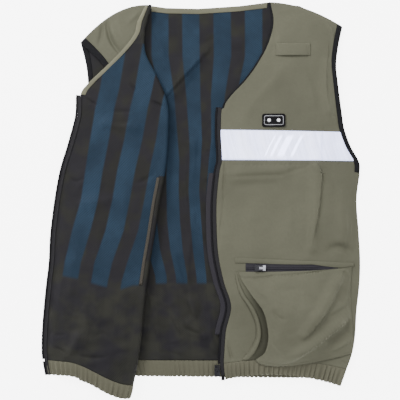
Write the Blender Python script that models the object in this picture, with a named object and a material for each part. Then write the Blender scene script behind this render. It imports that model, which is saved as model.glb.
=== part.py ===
"""Cooling vest laid flat on its back, with its right front folded open to show the striped mesh lining.

The collar points to +Y, the wearer's left side to +X, and the back rests on the plane Z = 0.
Every cloth piece is a thin closed wall carried on one of three smooth surfaces: the back, the left
front and the folded right front. A surface is worked out from a short table of sections. Its sides
are shares of the vest's width and length, and its heights are shares of a named height.
"""

import math
from collections import namedtuple

import bmesh
import bpy
import numpy as np

# Driving sizes in metres
CHEST_WIDTH = 0.497
BODY_LENGTH = 0.666
SHELL_THICK = 0.0012
LINING_THICK = 0.0010
CLEAR = 0.0003
TURNED_HEM_GAP = 0.0014
FRONT_LOFT = 0.015
LINING_RELIEF = 0.0045
FOLD_RADIUS = 0.0052
FOLD_HEIGHT = 0.0050
LOWER_RISE = 0.0085
SEAM_END_RISE = 0.0060
EDGE_REST = 0.0018
EDGE_RISE = 0.0080
HEM_THICK = 0.0030
HEM_RIB = 0.0011
HEM_RIB_PITCH = 0.0130
BINDING_WIDTH = 0.0090
BINDING_THICK = 0.0026
FACING_WIDTH = 0.0085
FACING_THICK = 0.0008
PIPING_WIDTH = 0.0032
PIPING_THICK = 0.0022
SEAM_TAPE_WIDTH = 0.0050
TAPE_HEIGHT = 0.0500
TAPE_THICK = 0.0006
LOOP_LENGTH = 0.0570
LOOP_WIDTH = 0.0205
LOOP_THICK = 0.0012
LOOP_ARCH = 0.0020
PLATE_LENGTH = 0.0380
PLATE_WIDTH = 0.0215
PLATE_THICK = 0.0030
PLATE_CORNER = 0.0030
BEZEL_INSET = 0.0028
BEZEL_WIDTH = 0.0013
BEZEL_THICK = 0.0006
KEY_RADIUS = 0.0030
KEY_RISE = 0.0014
KEY_SPACING = 0.0156
ZIP_TAPE_THICK = 0.0008
ZIP_TAPE_REACH = 0.0065
ZIP_TAPE_OVERLAP = 0.0035
ZIP_TAPE_PAST = 0.0030
ZIP_TEETH_WIDTH = 0.0032
ZIP_TEETH_THICK = 0.0022
ZIP_GUARD_WIDTH = 0.0180
ZIP_GUARD_TUCK = 0.0030
ZIP_COIL_RISE = 0.0014
POCKET_DEPTH = 0.020
POCKET_THICK = 0.0012
POCKET_ZIP_GAP = 0.0145
POCKET_ZIP_TUCK = 0.0025
SLIDER_LENGTH = 0.0110
SLIDER_WIDTH = 0.0088
SLIDER_THICK = 0.0032
BRIDGE_WIDTH = 0.0026
BRIDGE_LENGTH = 0.0060
BRIDGE_RISE = 0.0034
BRIDGE_WALL = 0.0009
PULL_WIRE = 0.0014
PULL_LENGTH = 0.0130
PULL_WIDTH = 0.0092
PULL_WINDOW = 0.0046
ZIP_BOX_LENGTH = 0.0060
ZIP_BOX_WIDTH = 0.0058
ZIP_BOX_THICK = 0.0036

# Grid steps along and across each cloth wall
BACK_STEPS = (24, 4)
LINING_COLUMNS = 14
LEFT_STEPS = (25, 12)
RIGHT_ROW_STEPS = 21
RIGHT_COLUMNS = (4, 4, 8)
BAG_STEPS = (14, 4, 9)
WELT_STEPS = 12
STRIP_STEPS = 22

BACK_STACK = SHELL_THICK + CLEAR + LINING_THICK
SEAM_RISE = BACK_STACK + CLEAR + SHELL_THICK / 2
BAG_LIFT = SHELL_THICK / 2 + CLEAR
WELT_LIFT = BAG_LIFT + ZIP_TAPE_THICK + CLEAR

Colour = namedtuple("Colour", "red green blue rough metal")
COLOURS = {
    "shell_olive": Colour(0.190, 0.180, 0.130, 0.75, 0.0),
    "lining_mesh": Colour(0.020, 0.045, 0.070, 0.85, 0.0),
    "trim_black": Colour(0.018, 0.018, 0.020, 0.80, 0.0),
    "seam_brown": Colour(0.060, 0.050, 0.042, 0.85, 0.0),
    "reflective_silver": Colour(0.720, 0.730, 0.800, 0.30, 0.1),
    "zip_black": Colour(0.022, 0.021, 0.025, 0.60, 0.0),
    "plate_rubber": Colour(0.012, 0.012, 0.013, 0.45, 0.0),
    "slider_metal": Colour(0.420, 0.420, 0.440, 0.30, 1.0),
    "key_white": Colour(0.850, 0.860, 0.900, 0.25, 0.0),
}

# Left front: inner is the neck and zip edge, outer the armhole and side edge
FrontRow = namedtuple("FrontRow", "inner_x inner_y outer_x outer_y inner_rise outer_rise loft bow")
LEFT_ROWS = (
    FrontRow(0.193, 0.9950, 0.440, 0.9325, 0.06, 0.16, 0.08, 0.014),
    FrontRow(0.203, 0.9450, 0.426, 0.8850, 0.28, 0.34, 0.34, 0.008),
    FrontRow(0.187, 0.8950, 0.418, 0.8350, 0.40, 0.52, 0.55, 0.003),
    FrontRow(0.157, 0.8500, 0.424, 0.7875, 0.42, 0.58, 0.68, 0.0),
    FrontRow(0.113, 0.8025, 0.431, 0.7450, 0.40, 0.60, 0.74, 0.0),
    FrontRow(0.060, 0.7600, 0.438, 0.7075, 0.38, 0.60, 0.78, 0.0),
    FrontRow(0.037, 0.7300, 0.441, 0.6900, 0.38, 0.58, 0.80, 0.0),
    FrontRow(0.033, 0.6750, 0.448, 0.6690, 0.38, 0.54, 0.80, 0.0),
    FrontRow(0.035, 0.6375, 0.467, 0.6325, 0.38, 0.42, 0.82, 0.0),
    FrontRow(0.037, 0.6000, 0.494, 0.5975, 0.38, 0.24, 0.86, 0.0),
    FrontRow(0.028, 0.5675, 0.498, 0.5700, 0.38, 0.14, 0.88, 0.0),
    FrontRow(0.019, 0.5000, 0.488, 0.5000, 0.38, 0.02, 0.88, 0.0),
    FrontRow(0.019, 0.4250, 0.495, 0.4200, 0.40, 0.02, 0.86, 0.0),
    FrontRow(0.025, 0.3600, 0.500, 0.3450, 0.42, 0.02, 0.80, 0.0),
    FrontRow(0.043, 0.2950, 0.497, 0.2850, 0.46, 0.02, 0.74, 0.0),
    FrontRow(0.067, 0.2350, 0.488, 0.2225, 0.50, 0.04, 0.66, 0.001),
    FrontRow(0.050, 0.1750, 0.483, 0.1625, 0.46, 0.08, 0.56, 0.003),
    FrontRow(0.045, 0.1250, 0.472, 0.1175, 0.46, 0.28, 0.46, 0.009),
    FrontRow(0.043, 0.0925, 0.453, 0.0775, 0.46, 0.34, 0.38, 0.0175),
    FrontRow(0.048, 0.0525, 0.433, 0.0350, 0.44, 0.34, 0.34, 0.020),
)
NECK_CORNER_ROW = 6
TAPE_TOP_ROW = 7
UNDERARM_ROW = 10
LEFT_HEM_ROW = 18

# Back: both sides from the shoulder tips down to the hem
BackRow = namedtuple("BackRow", "left_x left_y right_x right_y")
BACK_ROWS = (
    BackRow(-0.437, 0.8925, 0.440, 0.9325),
    BackRow(-0.420, 0.8400, 0.420, 0.8750),
    BackRow(-0.413, 0.7875, 0.417, 0.8150),
    BackRow(-0.420, 0.7350, 0.427, 0.7500),
    BackRow(-0.437, 0.6825, 0.440, 0.6900),
    BackRow(-0.460, 0.6350, 0.463, 0.6375),
    BackRow(-0.493, 0.5800, 0.497, 0.5800),
    BackRow(-0.493, 0.5000, 0.487, 0.5000),
    BackRow(-0.497, 0.4125, 0.492, 0.4125),
    BackRow(-0.500, 0.3250, 0.497, 0.3250),
    BackRow(-0.497, 0.2375, 0.488, 0.2375),
    BackRow(-0.490, 0.1625, 0.482, 0.1625),
    BackRow(-0.473, 0.1000, 0.460, 0.0975),
    BackRow(-0.450, 0.0600, 0.440, 0.0525),
)
BACK_ARM_END_ROW = 6
BACK_HEM_ROW = 12
YOKE_ROWS = 3.0

# Top edge of the back: shoulder slopes and the shallow neck curve between them
TopPoint = namedtuple("TopPoint", "across x y")
BACK_TOP = (
    TopPoint(0.00, -0.437, 0.8925),
    TopPoint(0.09, -0.360, 0.9475),
    TopPoint(0.15, -0.317, 0.9675),
    TopPoint(0.22, -0.247, 0.9825),
    TopPoint(0.28, -0.197, 0.9860),
    TopPoint(0.34, -0.150, 0.9810),
    TopPoint(0.46, -0.043, 0.9790),
    TopPoint(0.60, 0.097, 0.9860),
    TopPoint(0.70, 0.190, 0.9950),
    TopPoint(0.82, 0.297, 0.9860),
    TopPoint(0.93, 0.383, 0.9550),
    TopPoint(1.00, 0.440, 0.9325),
)
NECK_FROM, NECK_TO = 0.275, 0.70

# Right front: seam is its lower, outer end, fold the turned edge, edge its upper, inner end
FoldRow = namedtuple("FoldRow", "seam_x seam_y fold_x fold_y edge_x edge_y seam_rise radius edge_rise ease")
RIGHT_ROWS = (
    FoldRow(-0.437, 0.8925, -0.200, 0.9850, -0.217, 0.9800, 0.45, 0.42, 1.55, 0.0),
    FoldRow(-0.403, 0.8700, -0.213, 0.9500, -0.243, 0.9425, 0.80, 0.56, 1.85, 0.0),
    FoldRow(-0.370, 0.8450, -0.223, 0.9125, -0.257, 0.9075, 1.05, 0.66, 2.05, 0.0),
    FoldRow(-0.343, 0.8150, -0.220, 0.8650, -0.303, 0.8650, 1.20, 0.78, 2.15, 0.0),
    FoldRow(-0.330, 0.7800, -0.193, 0.8225, -0.357, 0.8250, 1.30, 0.88, 2.05, 0.0),
    FoldRow(-0.330, 0.7425, -0.160, 0.7700, -0.407, 0.7900, 1.30, 0.96, 1.75, 0.0),
    FoldRow(-0.347, 0.7050, -0.143, 0.7250, -0.434, 0.7625, 1.25, 1.00, 1.35, 0.0),
    FoldRow(-0.377, 0.6700, -0.143, 0.6750, -0.439, 0.7075, 1.15, 1.00, 1.40, 0.0),
    FoldRow(-0.420, 0.6300, -0.147, 0.6125, -0.464, 0.6375, 0.90, 1.00, 1.30, 0.0),
    FoldRow(-0.483, 0.5800, -0.157, 0.5550, -0.490, 0.5750, 0.42, 1.00, 0.95, 0.0),
    FoldRow(-0.490, 0.5000, -0.173, 0.4925, -0.510, 0.5000, 0.12, 1.00, 0.35, 0.0),
    FoldRow(-0.493, 0.4200, -0.190, 0.4100, -0.525, 0.4125, 0.12, 1.00, 0.10, 0.0),
    FoldRow(-0.497, 0.3450, -0.207, 0.3350, -0.530, 0.3450, 0.12, 1.00, 0.00, 0.0),
    FoldRow(-0.497, 0.2750, -0.220, 0.2600, -0.540, 0.2800, 0.12, 1.00, 0.00, 0.0),
    FoldRow(-0.490, 0.2000, -0.230, 0.1825, -0.550, 0.2000, 0.14, 1.00, 0.00, 0.1),
    FoldRow(-0.480, 0.1375, -0.240, 0.1200, -0.554, 0.1375, 0.45, 1.00, 0.00, 0.4),
    FoldRow(-0.460, 0.0900, -0.260, 0.0425, -0.551, 0.1000, 0.75, 0.96, 0.02, 0.9),
    FoldRow(-0.440, 0.0500, -0.273, 0.0075, -0.542, 0.0625, 0.75, 0.90, 0.04, 1.0),
)
RIGHT_CORNER_ROW = 6
RIGHT_ARM_END_ROW = 9
RIGHT_HEM_ROW = 16
UNDER_SHARE, ARC_SHARE = 0.38, 0.12
HEM_TURN_FROM, HEM_TURN_TO = 0.00, 0.76
SHOULDER_BOW = 0.026
EDGE_DROOP = 0.3
EDGE_FADE = 0.12
LOFT_SHARE = 0.6
FOLD_FADE = 0.15
EDGE_DROP_POWER = 4
BAG_FACE_POWER = 2.4
BAG_SAG_SHAPE = 2.6
BAG_TOP_POWER = 3
GAP_TAPER = 0.44
BAG_FOLD_FADE = 0.08
GAP_CLOSES_BEFORE, GAP_CLOSES_PAST = 0.085, 0.010

# Folds raised in the cloth: a ridge from one point to another, in shares of width and length
Fold = namedtuple("Fold", "from_x from_y to_x to_y spread lift")
LEFT_FOLDS = (
    Fold(0.350, 0.585, 0.340, 0.380, 0.016, 0.70),
    Fold(0.395, 0.840, 0.400, 0.720, 0.014, 0.55),
    Fold(0.060, 0.560, 0.250, 0.575, 0.020, 0.40),
    Fold(0.085, 0.535, 0.210, 0.540, 0.016, -0.35),
    Fold(0.115, 0.735, 0.270, 0.840, 0.030, 0.25),
    Fold(0.450, 0.520, 0.440, 0.400, 0.022, 0.45),
)
LINING_FOLDS = (
    Fold(-0.035, 0.860, -0.125, 0.770, 0.022, 1.00),
    Fold(-0.060, 0.640, -0.030, 0.420, 0.022, 0.90),
    Fold(-0.010, 0.920, 0.080, 0.900, 0.030, 0.60),
    Fold(-0.100, 0.360, -0.060, 0.230, 0.020, 0.80),
    Fold(-0.075, 0.190, -0.020, 0.160, 0.016, 1.00),
    Fold(-0.110, 0.120, -0.040, 0.105, 0.018, 0.80),
    Fold(0.010, 0.700, -0.010, 0.560, 0.016, 0.50),
)
RIGHT_FOLDS = (
    Fold(-0.350, 0.690, -0.250, 0.680, 0.018, 0.70),
    Fold(-0.420, 0.490, -0.340, 0.500, 0.020, 0.60),
    Fold(-0.440, 0.160, -0.460, 0.130, 0.016, 0.70),
    Fold(-0.380, 0.250, -0.350, 0.120, 0.030, 0.60),
    Fold(-0.300, 0.260, -0.290, 0.100, 0.026, 0.50),
)

BAG_FOLDS = (
    Fold(0.425, 0.300, 0.310, 0.170, 0.018, 0.90),
    Fold(0.430, 0.190, 0.250, 0.095, 0.022, 0.70),
    Fold(0.300, 0.270, 0.360, 0.240, 0.020, -0.40),
)

# Pocket bag: the sewn line, the turned edge of its gusset, and its right side, each going down
BagRow = namedtuple("BagRow", "seam_x edge_x right_x left_y right_y fullness sag")
BAG_ROWS = (
    BagRow(0.080, 0.092, 0.470, 0.3215, 0.3330, 0.04, 0.000),
    BagRow(0.084, 0.102, 0.470, 0.3000, 0.3150, 0.30, 0.000),
    BagRow(0.097, 0.133, 0.468, 0.2650, 0.2850, 0.62, 0.000),
    BagRow(0.127, 0.168, 0.468, 0.2300, 0.2500, 0.86, 0.000),
    BagRow(0.147, 0.183, 0.470, 0.1950, 0.2180, 1.00, 0.002),
    BagRow(0.150, 0.188, 0.475, 0.1600, 0.1830, 0.98, 0.006),
    BagRow(0.128, 0.178, 0.478, 0.1250, 0.1500, 0.70, 0.014),
    BagRow(0.103, 0.150, 0.473, 0.1030, 0.1180, 0.16, 0.020),
)
GUSSET_SHARE = 0.2
WELT_TOP = 0.3575
WELT_LEFT_X, WELT_RIGHT_X = 0.080, 0.478
WELT_RIGHT_DROP = 0.014
POCKET_ZIP_LEFT_X, POCKET_ZIP_RIGHT_X = 0.115, 0.425
POCKET_SLIDER_X = 0.170
LOOP_AT = (0.273, 0.8740)
PLATE_AT = (0.208, 0.6975)
FRONT_SLIDER_ROW = 18.3
GUARD_ROWS = (10.0, 16.2)
DOME_SIDES = 12
SEAM_TAPE_ROWS = (9.0, 12.6)
SEAM_TAPE_FROM_FOLD = 0.0015


def smooth_rows(rows, at):
    """Values of every column at the places in at, on a cubic curve through the table's rows."""
    table = np.array(rows, float)
    at = np.clip(np.asarray(at, float), 0, len(table) - 1)
    low = np.minimum(at.astype(int), len(table) - 2)
    slopes = np.gradient(table, axis=0)
    t = (at - low)[..., None]
    a, b = table[low], table[low + 1]
    da, db = slopes[low], slopes[low + 1]
    rise = (1 + 2 * t) * (1 - t) ** 2 * a + t**2 * (3 - 2 * t) * b
    return rise + t * (1 - t) ** 2 * da + t**2 * (t - 1) * db


def ridges(x, y, folds, height):
    """Heights of the folds at points x, y: a bell across each ridge's line that dies out at its ends."""
    total = np.zeros_like(x)
    for fold in folds:
        start = np.array([fold.from_x * CHEST_WIDTH, fold.from_y * BODY_LENGTH])
        end = np.array([fold.to_x * CHEST_WIDTH, fold.to_y * BODY_LENGTH])
        along = end - start
        length = np.hypot(*along)
        share = ((x - start[0]) * along[0] + (y - start[1]) * along[1]) / length**2
        away = ((x - start[0]) * along[1] - (y - start[1]) * along[0]) / length
        past = np.maximum(np.abs(share - 0.5) - 0.5, 0) * length
        reach = fold.spread * CHEST_WIDTH
        total += fold.lift * height * np.exp(-((away**2 + past**2) / reach**2))
    return total


def crown(u):
    """A full, rounded bump over a share from 0 to 1, zero at both ends."""
    return 1 - np.abs(2 * u - 1) ** 2.2


def left_front(u, v):
    """Points of the left front: u goes from its zip edge to its side, v counts the table's rows."""
    row = FrontRow(*np.moveaxis(smooth_rows(LEFT_ROWS, v), -1, 0))
    x = ((1 - u) * row.inner_x + u * row.outer_x) * CHEST_WIDTH
    y = ((1 - u) * row.inner_y + u * row.outer_y + row.bow * 4 * u * (1 - u)) * BODY_LENGTH
    rise = (1 - u) * row.inner_rise + u * row.outer_rise + row.loft * crown(u) * LOFT_SHARE
    edges = np.clip(np.minimum(u, 1 - u) / EDGE_FADE, 0, 1)
    folds = ridges(x, y, LEFT_FOLDS, FOLD_HEIGHT) * edges
    return np.stack([x, y, SEAM_RISE + rise * FRONT_LOFT + folds], axis=-1)


def back(u, v):
    """Points of the back's lower face: u goes from its left to its right side, v counts the rows."""
    row = BackRow(*np.moveaxis(smooth_rows(BACK_ROWS, v), -1, 0))
    x = (1 - u) * row.left_x + u * row.right_x
    y = (1 - u) * row.left_y + u * row.right_y
    top = np.array(BACK_TOP, float)
    fade = np.clip(1 - v / YOKE_ROWS, 0, 1) ** 2
    first = BACK_ROWS[0]
    x = x + fade * (np.interp(u, top[:, 0], top[:, 1]) - (1 - u) * first.left_x - u * first.right_x)
    y = y + fade * (np.interp(u, top[:, 0], top[:, 2]) - (1 - u) * first.left_y - u * first.right_y)
    return np.stack([x * CHEST_WIDTH, y * BODY_LENGTH, np.zeros_like(x)], axis=-1)


def back_lining(u, v):
    """Points of the back lining: the back, lifted by the lining's own folds."""
    points = back(u, v)
    inside = np.clip(np.minimum(v, BACK_HEM_ROW - v), 0, 1)
    points[..., 2] += ridges(points[..., 0], points[..., 1], LINING_FOLDS, LINING_RELIEF) * inside
    return points


def right_front(u, v):
    """Points of the folded right front: along the under layer, round the fold, then back on top."""
    row = FoldRow(*np.moveaxis(smooth_rows(RIGHT_ROWS, v), -1, 0))
    radius = row.radius * FOLD_RADIUS
    turn_x = row.fold_x * CHEST_WIDTH - radius
    seam_x, edge_x = row.seam_x * CHEST_WIDTH, row.edge_x * CHEST_WIDTH
    low = np.clip(u / UNDER_SHARE, 0, 1)
    arc = np.clip((u - UNDER_SHARE) / ARC_SHARE, 0, 1)
    high = np.clip((u - UNDER_SHARE - ARC_SHARE) / (1 - UNDER_SHARE - ARC_SHARE), 0, 1)
    angle = math.pi * arc
    x = seam_x + (turn_x - seam_x) * low + (edge_x - turn_x) * high + radius * np.sin(angle)
    t = np.clip((high - HEM_TURN_FROM) / (HEM_TURN_TO - HEM_TURN_FROM), 0, 1)
    drop = high + row.ease * (t * t * (3 - 2 * t) - high)
    bow = SHOULDER_BOW * 4 * low * (1 - low) * np.clip(1 - v / YOKE_ROWS, 0, 1) ** 2
    y = row.seam_y + (row.fold_y - row.seam_y) * low + bow + (row.edge_y - row.fold_y) * drop
    seam_z = SEAM_RISE + row.seam_rise * SEAM_END_RISE
    low_z = SEAM_RISE + LOWER_RISE
    edge_z = EDGE_REST + row.edge_rise * EDGE_RISE
    z = seam_z + (low_z - seam_z) * np.sin(low * math.pi / 2) + radius * (1 - np.cos(angle))
    z = z + (edge_z - low_z - 2 * radius) * high**EDGE_DROP_POWER
    y = y * BODY_LENGTH
    on_top = np.clip(np.minimum(high, 1 - high) / FOLD_FADE, 0, 1)
    z = z + ridges(x, y, RIGHT_FOLDS, FOLD_HEIGHT) * on_top
    return np.stack([x, y, z], axis=-1)


def normals_of(surface, u, v):
    """Unit normals of a surface, from small steps both ways along it."""
    step = 1e-3
    du = surface(u + step, v) - surface(u - step, v)
    dv = surface(u, v + step) - surface(u, v - step)
    normal = np.cross(dv, du)
    return normal / np.linalg.norm(normal, axis=-1, keepdims=True)


def row_length(surface, v, ends=(0.0, 1.0)):
    """Length of the surface's rows between two shares across, measured along the cloth."""
    v = np.asarray(v, float)
    u = np.linspace(*ends, 33)
    points = surface(*np.broadcast_arrays(u, v[..., None]))
    return np.linalg.norm(np.diff(points, axis=-2), axis=-1).sum(-1)


def place_on_left_front(x, y):
    """The shares u and rows v at which the left front passes over points x, y."""
    u, v = np.full_like(x, 0.5), np.full_like(x, 12.0)
    for _ in range(40):
        row = FrontRow(*np.moveaxis(smooth_rows(LEFT_ROWS, v), -1, 0))
        width = (row.outer_x - row.inner_x) * CHEST_WIDTH
        u = np.clip((x - row.inner_x * CHEST_WIDTH) / width, 0, 1)
        here = left_front(u, v)[..., 1]
        below = left_front(u, v + 0.01)[..., 1]
        v = np.clip(v + 0.7 * (y - here) / ((below - here) / 0.01), 0, len(LEFT_ROWS) - 1)
    return u, v


def over_left_front(x, y, offset):
    """Points at x, y lifted by offset above the middle of the left front's cloth."""
    u, v = place_on_left_front(x, y)
    return np.stack([x, y, left_front(u, v)[..., 2] + offset], axis=-1)


def material(name):
    """The named material, made once from its colour."""
    found = bpy.data.materials.get(name)
    if found:
        return found
    colour = COLOURS[name]
    made = bpy.data.materials.new(name)
    made.use_nodes = True
    shader = made.node_tree.nodes["Principled BSDF"]
    shader.inputs["Base Color"].default_value = (colour.red, colour.green, colour.blue, 1)
    shader.inputs["Roughness"].default_value = colour.rough
    shader.inputs["Metallic"].default_value = colour.metal
    return made


def add_object(name, points, faces, slot):
    """An object whose closed mesh has its faces turned outwards."""
    mesh = bpy.data.meshes.new(name)
    mesh.from_pydata([tuple(p) for p in points], [], [tuple(int(i) for i in f) for f in faces])
    work = bmesh.new()
    work.from_mesh(mesh)
    bmesh.ops.recalc_face_normals(work, faces=work.faces)
    work.to_mesh(mesh)
    work.free()
    mesh.materials.append(material(slot))
    made = bpy.data.objects.new(name, mesh)
    bpy.context.scene.collection.objects.link(made)
    return made


def wall(name, under, over, slot):
    """A closed wall between two grids of points, with both faces cut along the same diagonals."""
    rows, columns = under.shape[:2]
    index = np.arange(rows * columns).reshape(rows, columns)
    a, b = index[:-1, :-1].ravel(), index[:-1, 1:].ravel()
    c, d = index[1:, 1:].ravel(), index[1:, :-1].ravel()
    upper = np.concatenate([np.stack([a, b, c], 1), np.stack([a, c, d], 1)])
    lower = upper[:, ::-1]
    rim = np.concatenate([index[0, :-1], index[:-1, -1], index[-1, :0:-1], index[:0:-1, 0]])
    ahead = np.roll(rim, -1)
    shift = rows * columns
    sides = np.concatenate(
        [
            np.stack([rim, ahead, ahead + shift], 1),
            np.stack([rim, ahead + shift, rim + shift], 1),
        ]
    )
    points = np.concatenate([under.reshape(-1, 3), over.reshape(-1, 3)])
    return add_object(name, points, np.concatenate([lower, upper + shift, sides]), slot)


def grid(rows, from_share, to_share, steps):
    """Shares across and rows down of a grid whose sides are given for each row."""
    v = np.repeat(np.asarray(rows, float)[:, None], steps + 1, axis=1)
    t = np.linspace(0, 1, steps + 1)[None, :]
    start = np.broadcast_to(np.asarray(from_share, float), (len(rows),))[:, None]
    end = np.broadcast_to(np.asarray(to_share, float), (len(rows),))[:, None]
    return start + (end - start) * t, v


def cloth(name, surface, u, v, low, high, slot):
    """A wall of cloth on a surface, from one offset along its normal to another."""
    points = surface(u, v)
    normal = normals_of(surface, u, v)
    low = np.broadcast_to(low, u.shape)[..., None]
    high = np.broadcast_to(high, u.shape)[..., None]
    return wall(name, points + normal * low, points + normal * high, slot)


def rows_between(first, last, steps, *keep):
    """Evenly spaced row places with the ones in keep set exactly."""
    rows = np.linspace(first, last, steps + 1)
    for place in keep:
        rows[np.argmin(np.abs(rows - place))] = place
    return rows


def tape_bottom_row():
    """The row of the left front that lies one tape height under the tape's top."""
    rows = np.linspace(TAPE_TOP_ROW, LEFT_HEM_ROW, 400)
    height = left_front(np.zeros_like(rows), rows)[:, 1]
    return float(np.interp(TAPE_HEIGHT, height[0] - height, rows))


def edge_share(surface, rows, width, end_row, ends=(0.0, 1.0)):
    """Share of each row that a trim of this width takes, down to the row where the trim ends."""
    share = (width + CLEAR) / row_length(surface, rows, ends) * (ends[1] - ends[0])
    return np.where(np.asarray(rows) <= end_row + 1e-9, share, 0)


def trim_share(surface, rows, width, ends=(0.0, 1.0)):
    """Share of each row under a trim of this width."""
    return width / row_length(surface, rows, ends) * (ends[1] - ends[0])


def ribbed(length):
    """Column count and rib drops of a gathered band: every other column lies lower."""
    steps = 2 * max(4, round(length / HEM_RIB_PITCH))
    return steps, HEM_RIB * (np.arange(steps + 1) % 2)


def beyond_edge(surface, rows, share, reaches, low, high):
    """Two grids of a strip along a surface's edge, with a column at each reach past that edge.

    Inside the edge the strip keeps the cloth's own slope, and past it only part of that slope.
    Low and high are its offsets along the cloth's normal.
    """
    u = np.full(len(rows), float(share))
    inward = 0.02 if share < 0.5 else -0.02
    at = surface(u, rows)
    out = at - surface(u + inward, rows)
    out /= np.linalg.norm(out, axis=-1, keepdims=True)
    level = out * np.array([1, 1, EDGE_DROOP])
    normal = normals_of(surface, u, rows)
    along = np.stack([at + (out if reach < 0 else level) * reach for reach in reaches], axis=1)
    return along + normal[:, None] * low, along + normal[:, None] * high


def back_rows():
    """Row places shared by everything sewn to the back."""
    return rows_between(0, BACK_HEM_ROW, BACK_STEPS[0], BACK_ARM_END_ROW)


def left_rows():
    """Row places shared by everything sewn to the left front."""
    keep = (NECK_CORNER_ROW, TAPE_TOP_ROW, tape_bottom_row(), UNDERARM_ROW)
    return rows_between(0, LEFT_HEM_ROW, LEFT_STEPS[0], *keep)


def right_rows():
    """Row places shared by everything sewn to the right front."""
    keep = (RIGHT_CORNER_ROW, RIGHT_ARM_END_ROW, SEAM_TAPE_ROWS[1])
    return rows_between(0, RIGHT_HEM_ROW, RIGHT_ROW_STEPS, *keep)


def hem_rows(table, hem_row, gap=CLEAR):
    """Row places of a hem band, from just below the cloth above it to the bottom edge."""
    rise = (table[hem_row][1] - table[-1][1]) * BODY_LENGTH / (len(table) - 1 - hem_row)
    return [hem_row + gap / rise, hem_row + 0.5, len(table) - 1]


def make_back():
    """Back shell, lining, hem band, neck facing and armhole bindings."""
    rows = back_rows()
    trim = edge_share(back, rows, BINDING_WIDTH, BACK_ARM_END_ROW)
    u, v = grid(rows, trim, 1 - trim, BACK_STEPS[1])
    cloth("back_shell", back, u, v, 0, SHELL_THICK, "shell_olive")

    up = np.array([0, 0, 1.0])
    u, v = grid(rows, trim, 1 - trim, LINING_COLUMNS)
    base = back_lining(u, v) + up * (SHELL_THICK + CLEAR)
    wall("back_lining", base, base + up * LINING_THICK, "lining_mesh")

    steps, ribs = ribbed(CHEST_WIDTH)
    u, v = grid(hem_rows(BACK_ROWS, BACK_HEM_ROW)[::2], 0.0, 1.0, steps)
    cloth("back_hem", back, u, v, 0, HEM_THICK - ribs, "shell_olive")

    depth = row_length(lambda across, down: back(down, across), np.array([0.5]))[0]
    u, v = grid([CLEAR / depth, FACING_WIDTH / depth], NECK_FROM, NECK_TO, STRIP_STEPS)
    facing = back_lining(u, v) + up * (BACK_STACK + CLEAR)
    wall("back_neck_facing", facing, facing + up * FACING_THICK, "shell_olive")

    rows = rows[rows <= BACK_ARM_END_ROW]
    share = trim_share(back, rows, BINDING_WIDTH)
    u, v = grid(rows, 0.0, share, 1)
    cloth("right_arm_binding_back", back, u, v, 0, BACK_STACK, "trim_black")
    u, v = grid(rows, 1 - share, 1.0, 1)
    cloth("left_arm_binding_back", back, u, v, 0, BACK_STACK, "trim_black")


def make_left_front():
    """Left front shell with its hem, neck piping, armhole binding and reflective tape."""
    half = SHELL_THICK / 2
    rows = left_rows()
    inner = edge_share(left_front, rows, PIPING_WIDTH, NECK_CORNER_ROW)
    outer = 1 - edge_share(left_front, rows, BINDING_WIDTH, UNDERARM_ROW)
    u, v = grid(rows, inner, outer, LEFT_STEPS[1])
    cloth("left_front_shell", left_front, u, v, -half, half, "shell_olive")

    taped = (rows >= TAPE_TOP_ROW) & (rows <= tape_bottom_row())
    low = half + CLEAR
    cloth(
        "reflective_tape", left_front, u[taped], v[taped], low, low + TAPE_THICK, "reflective_silver"
    )

    places = hem_rows(LEFT_ROWS, LEFT_HEM_ROW)
    steps, ribs = ribbed(row_length(left_front, np.array(places[1:2]))[0])
    u, v = grid(places, 0.0, 1.0, steps)
    cloth("left_front_hem", left_front, u, v, -HEM_THICK / 2, HEM_THICK / 2 - ribs, "shell_olive")

    neck = rows[rows <= NECK_CORNER_ROW]
    reach = PIPING_THICK / 2
    u, v = grid(neck, 0.0, trim_share(left_front, neck, PIPING_WIDTH), 1)
    cloth("left_neck_piping", left_front, u, v, -reach, reach, "trim_black")

    arm = rows[rows <= UNDERARM_ROW]
    reach = BINDING_THICK / 2
    u, v = grid(arm, 1 - trim_share(left_front, arm, BINDING_WIDTH), 1.0, 1)
    cloth("left_arm_binding_front", left_front, u, v, -reach, reach, "trim_black")


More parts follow.
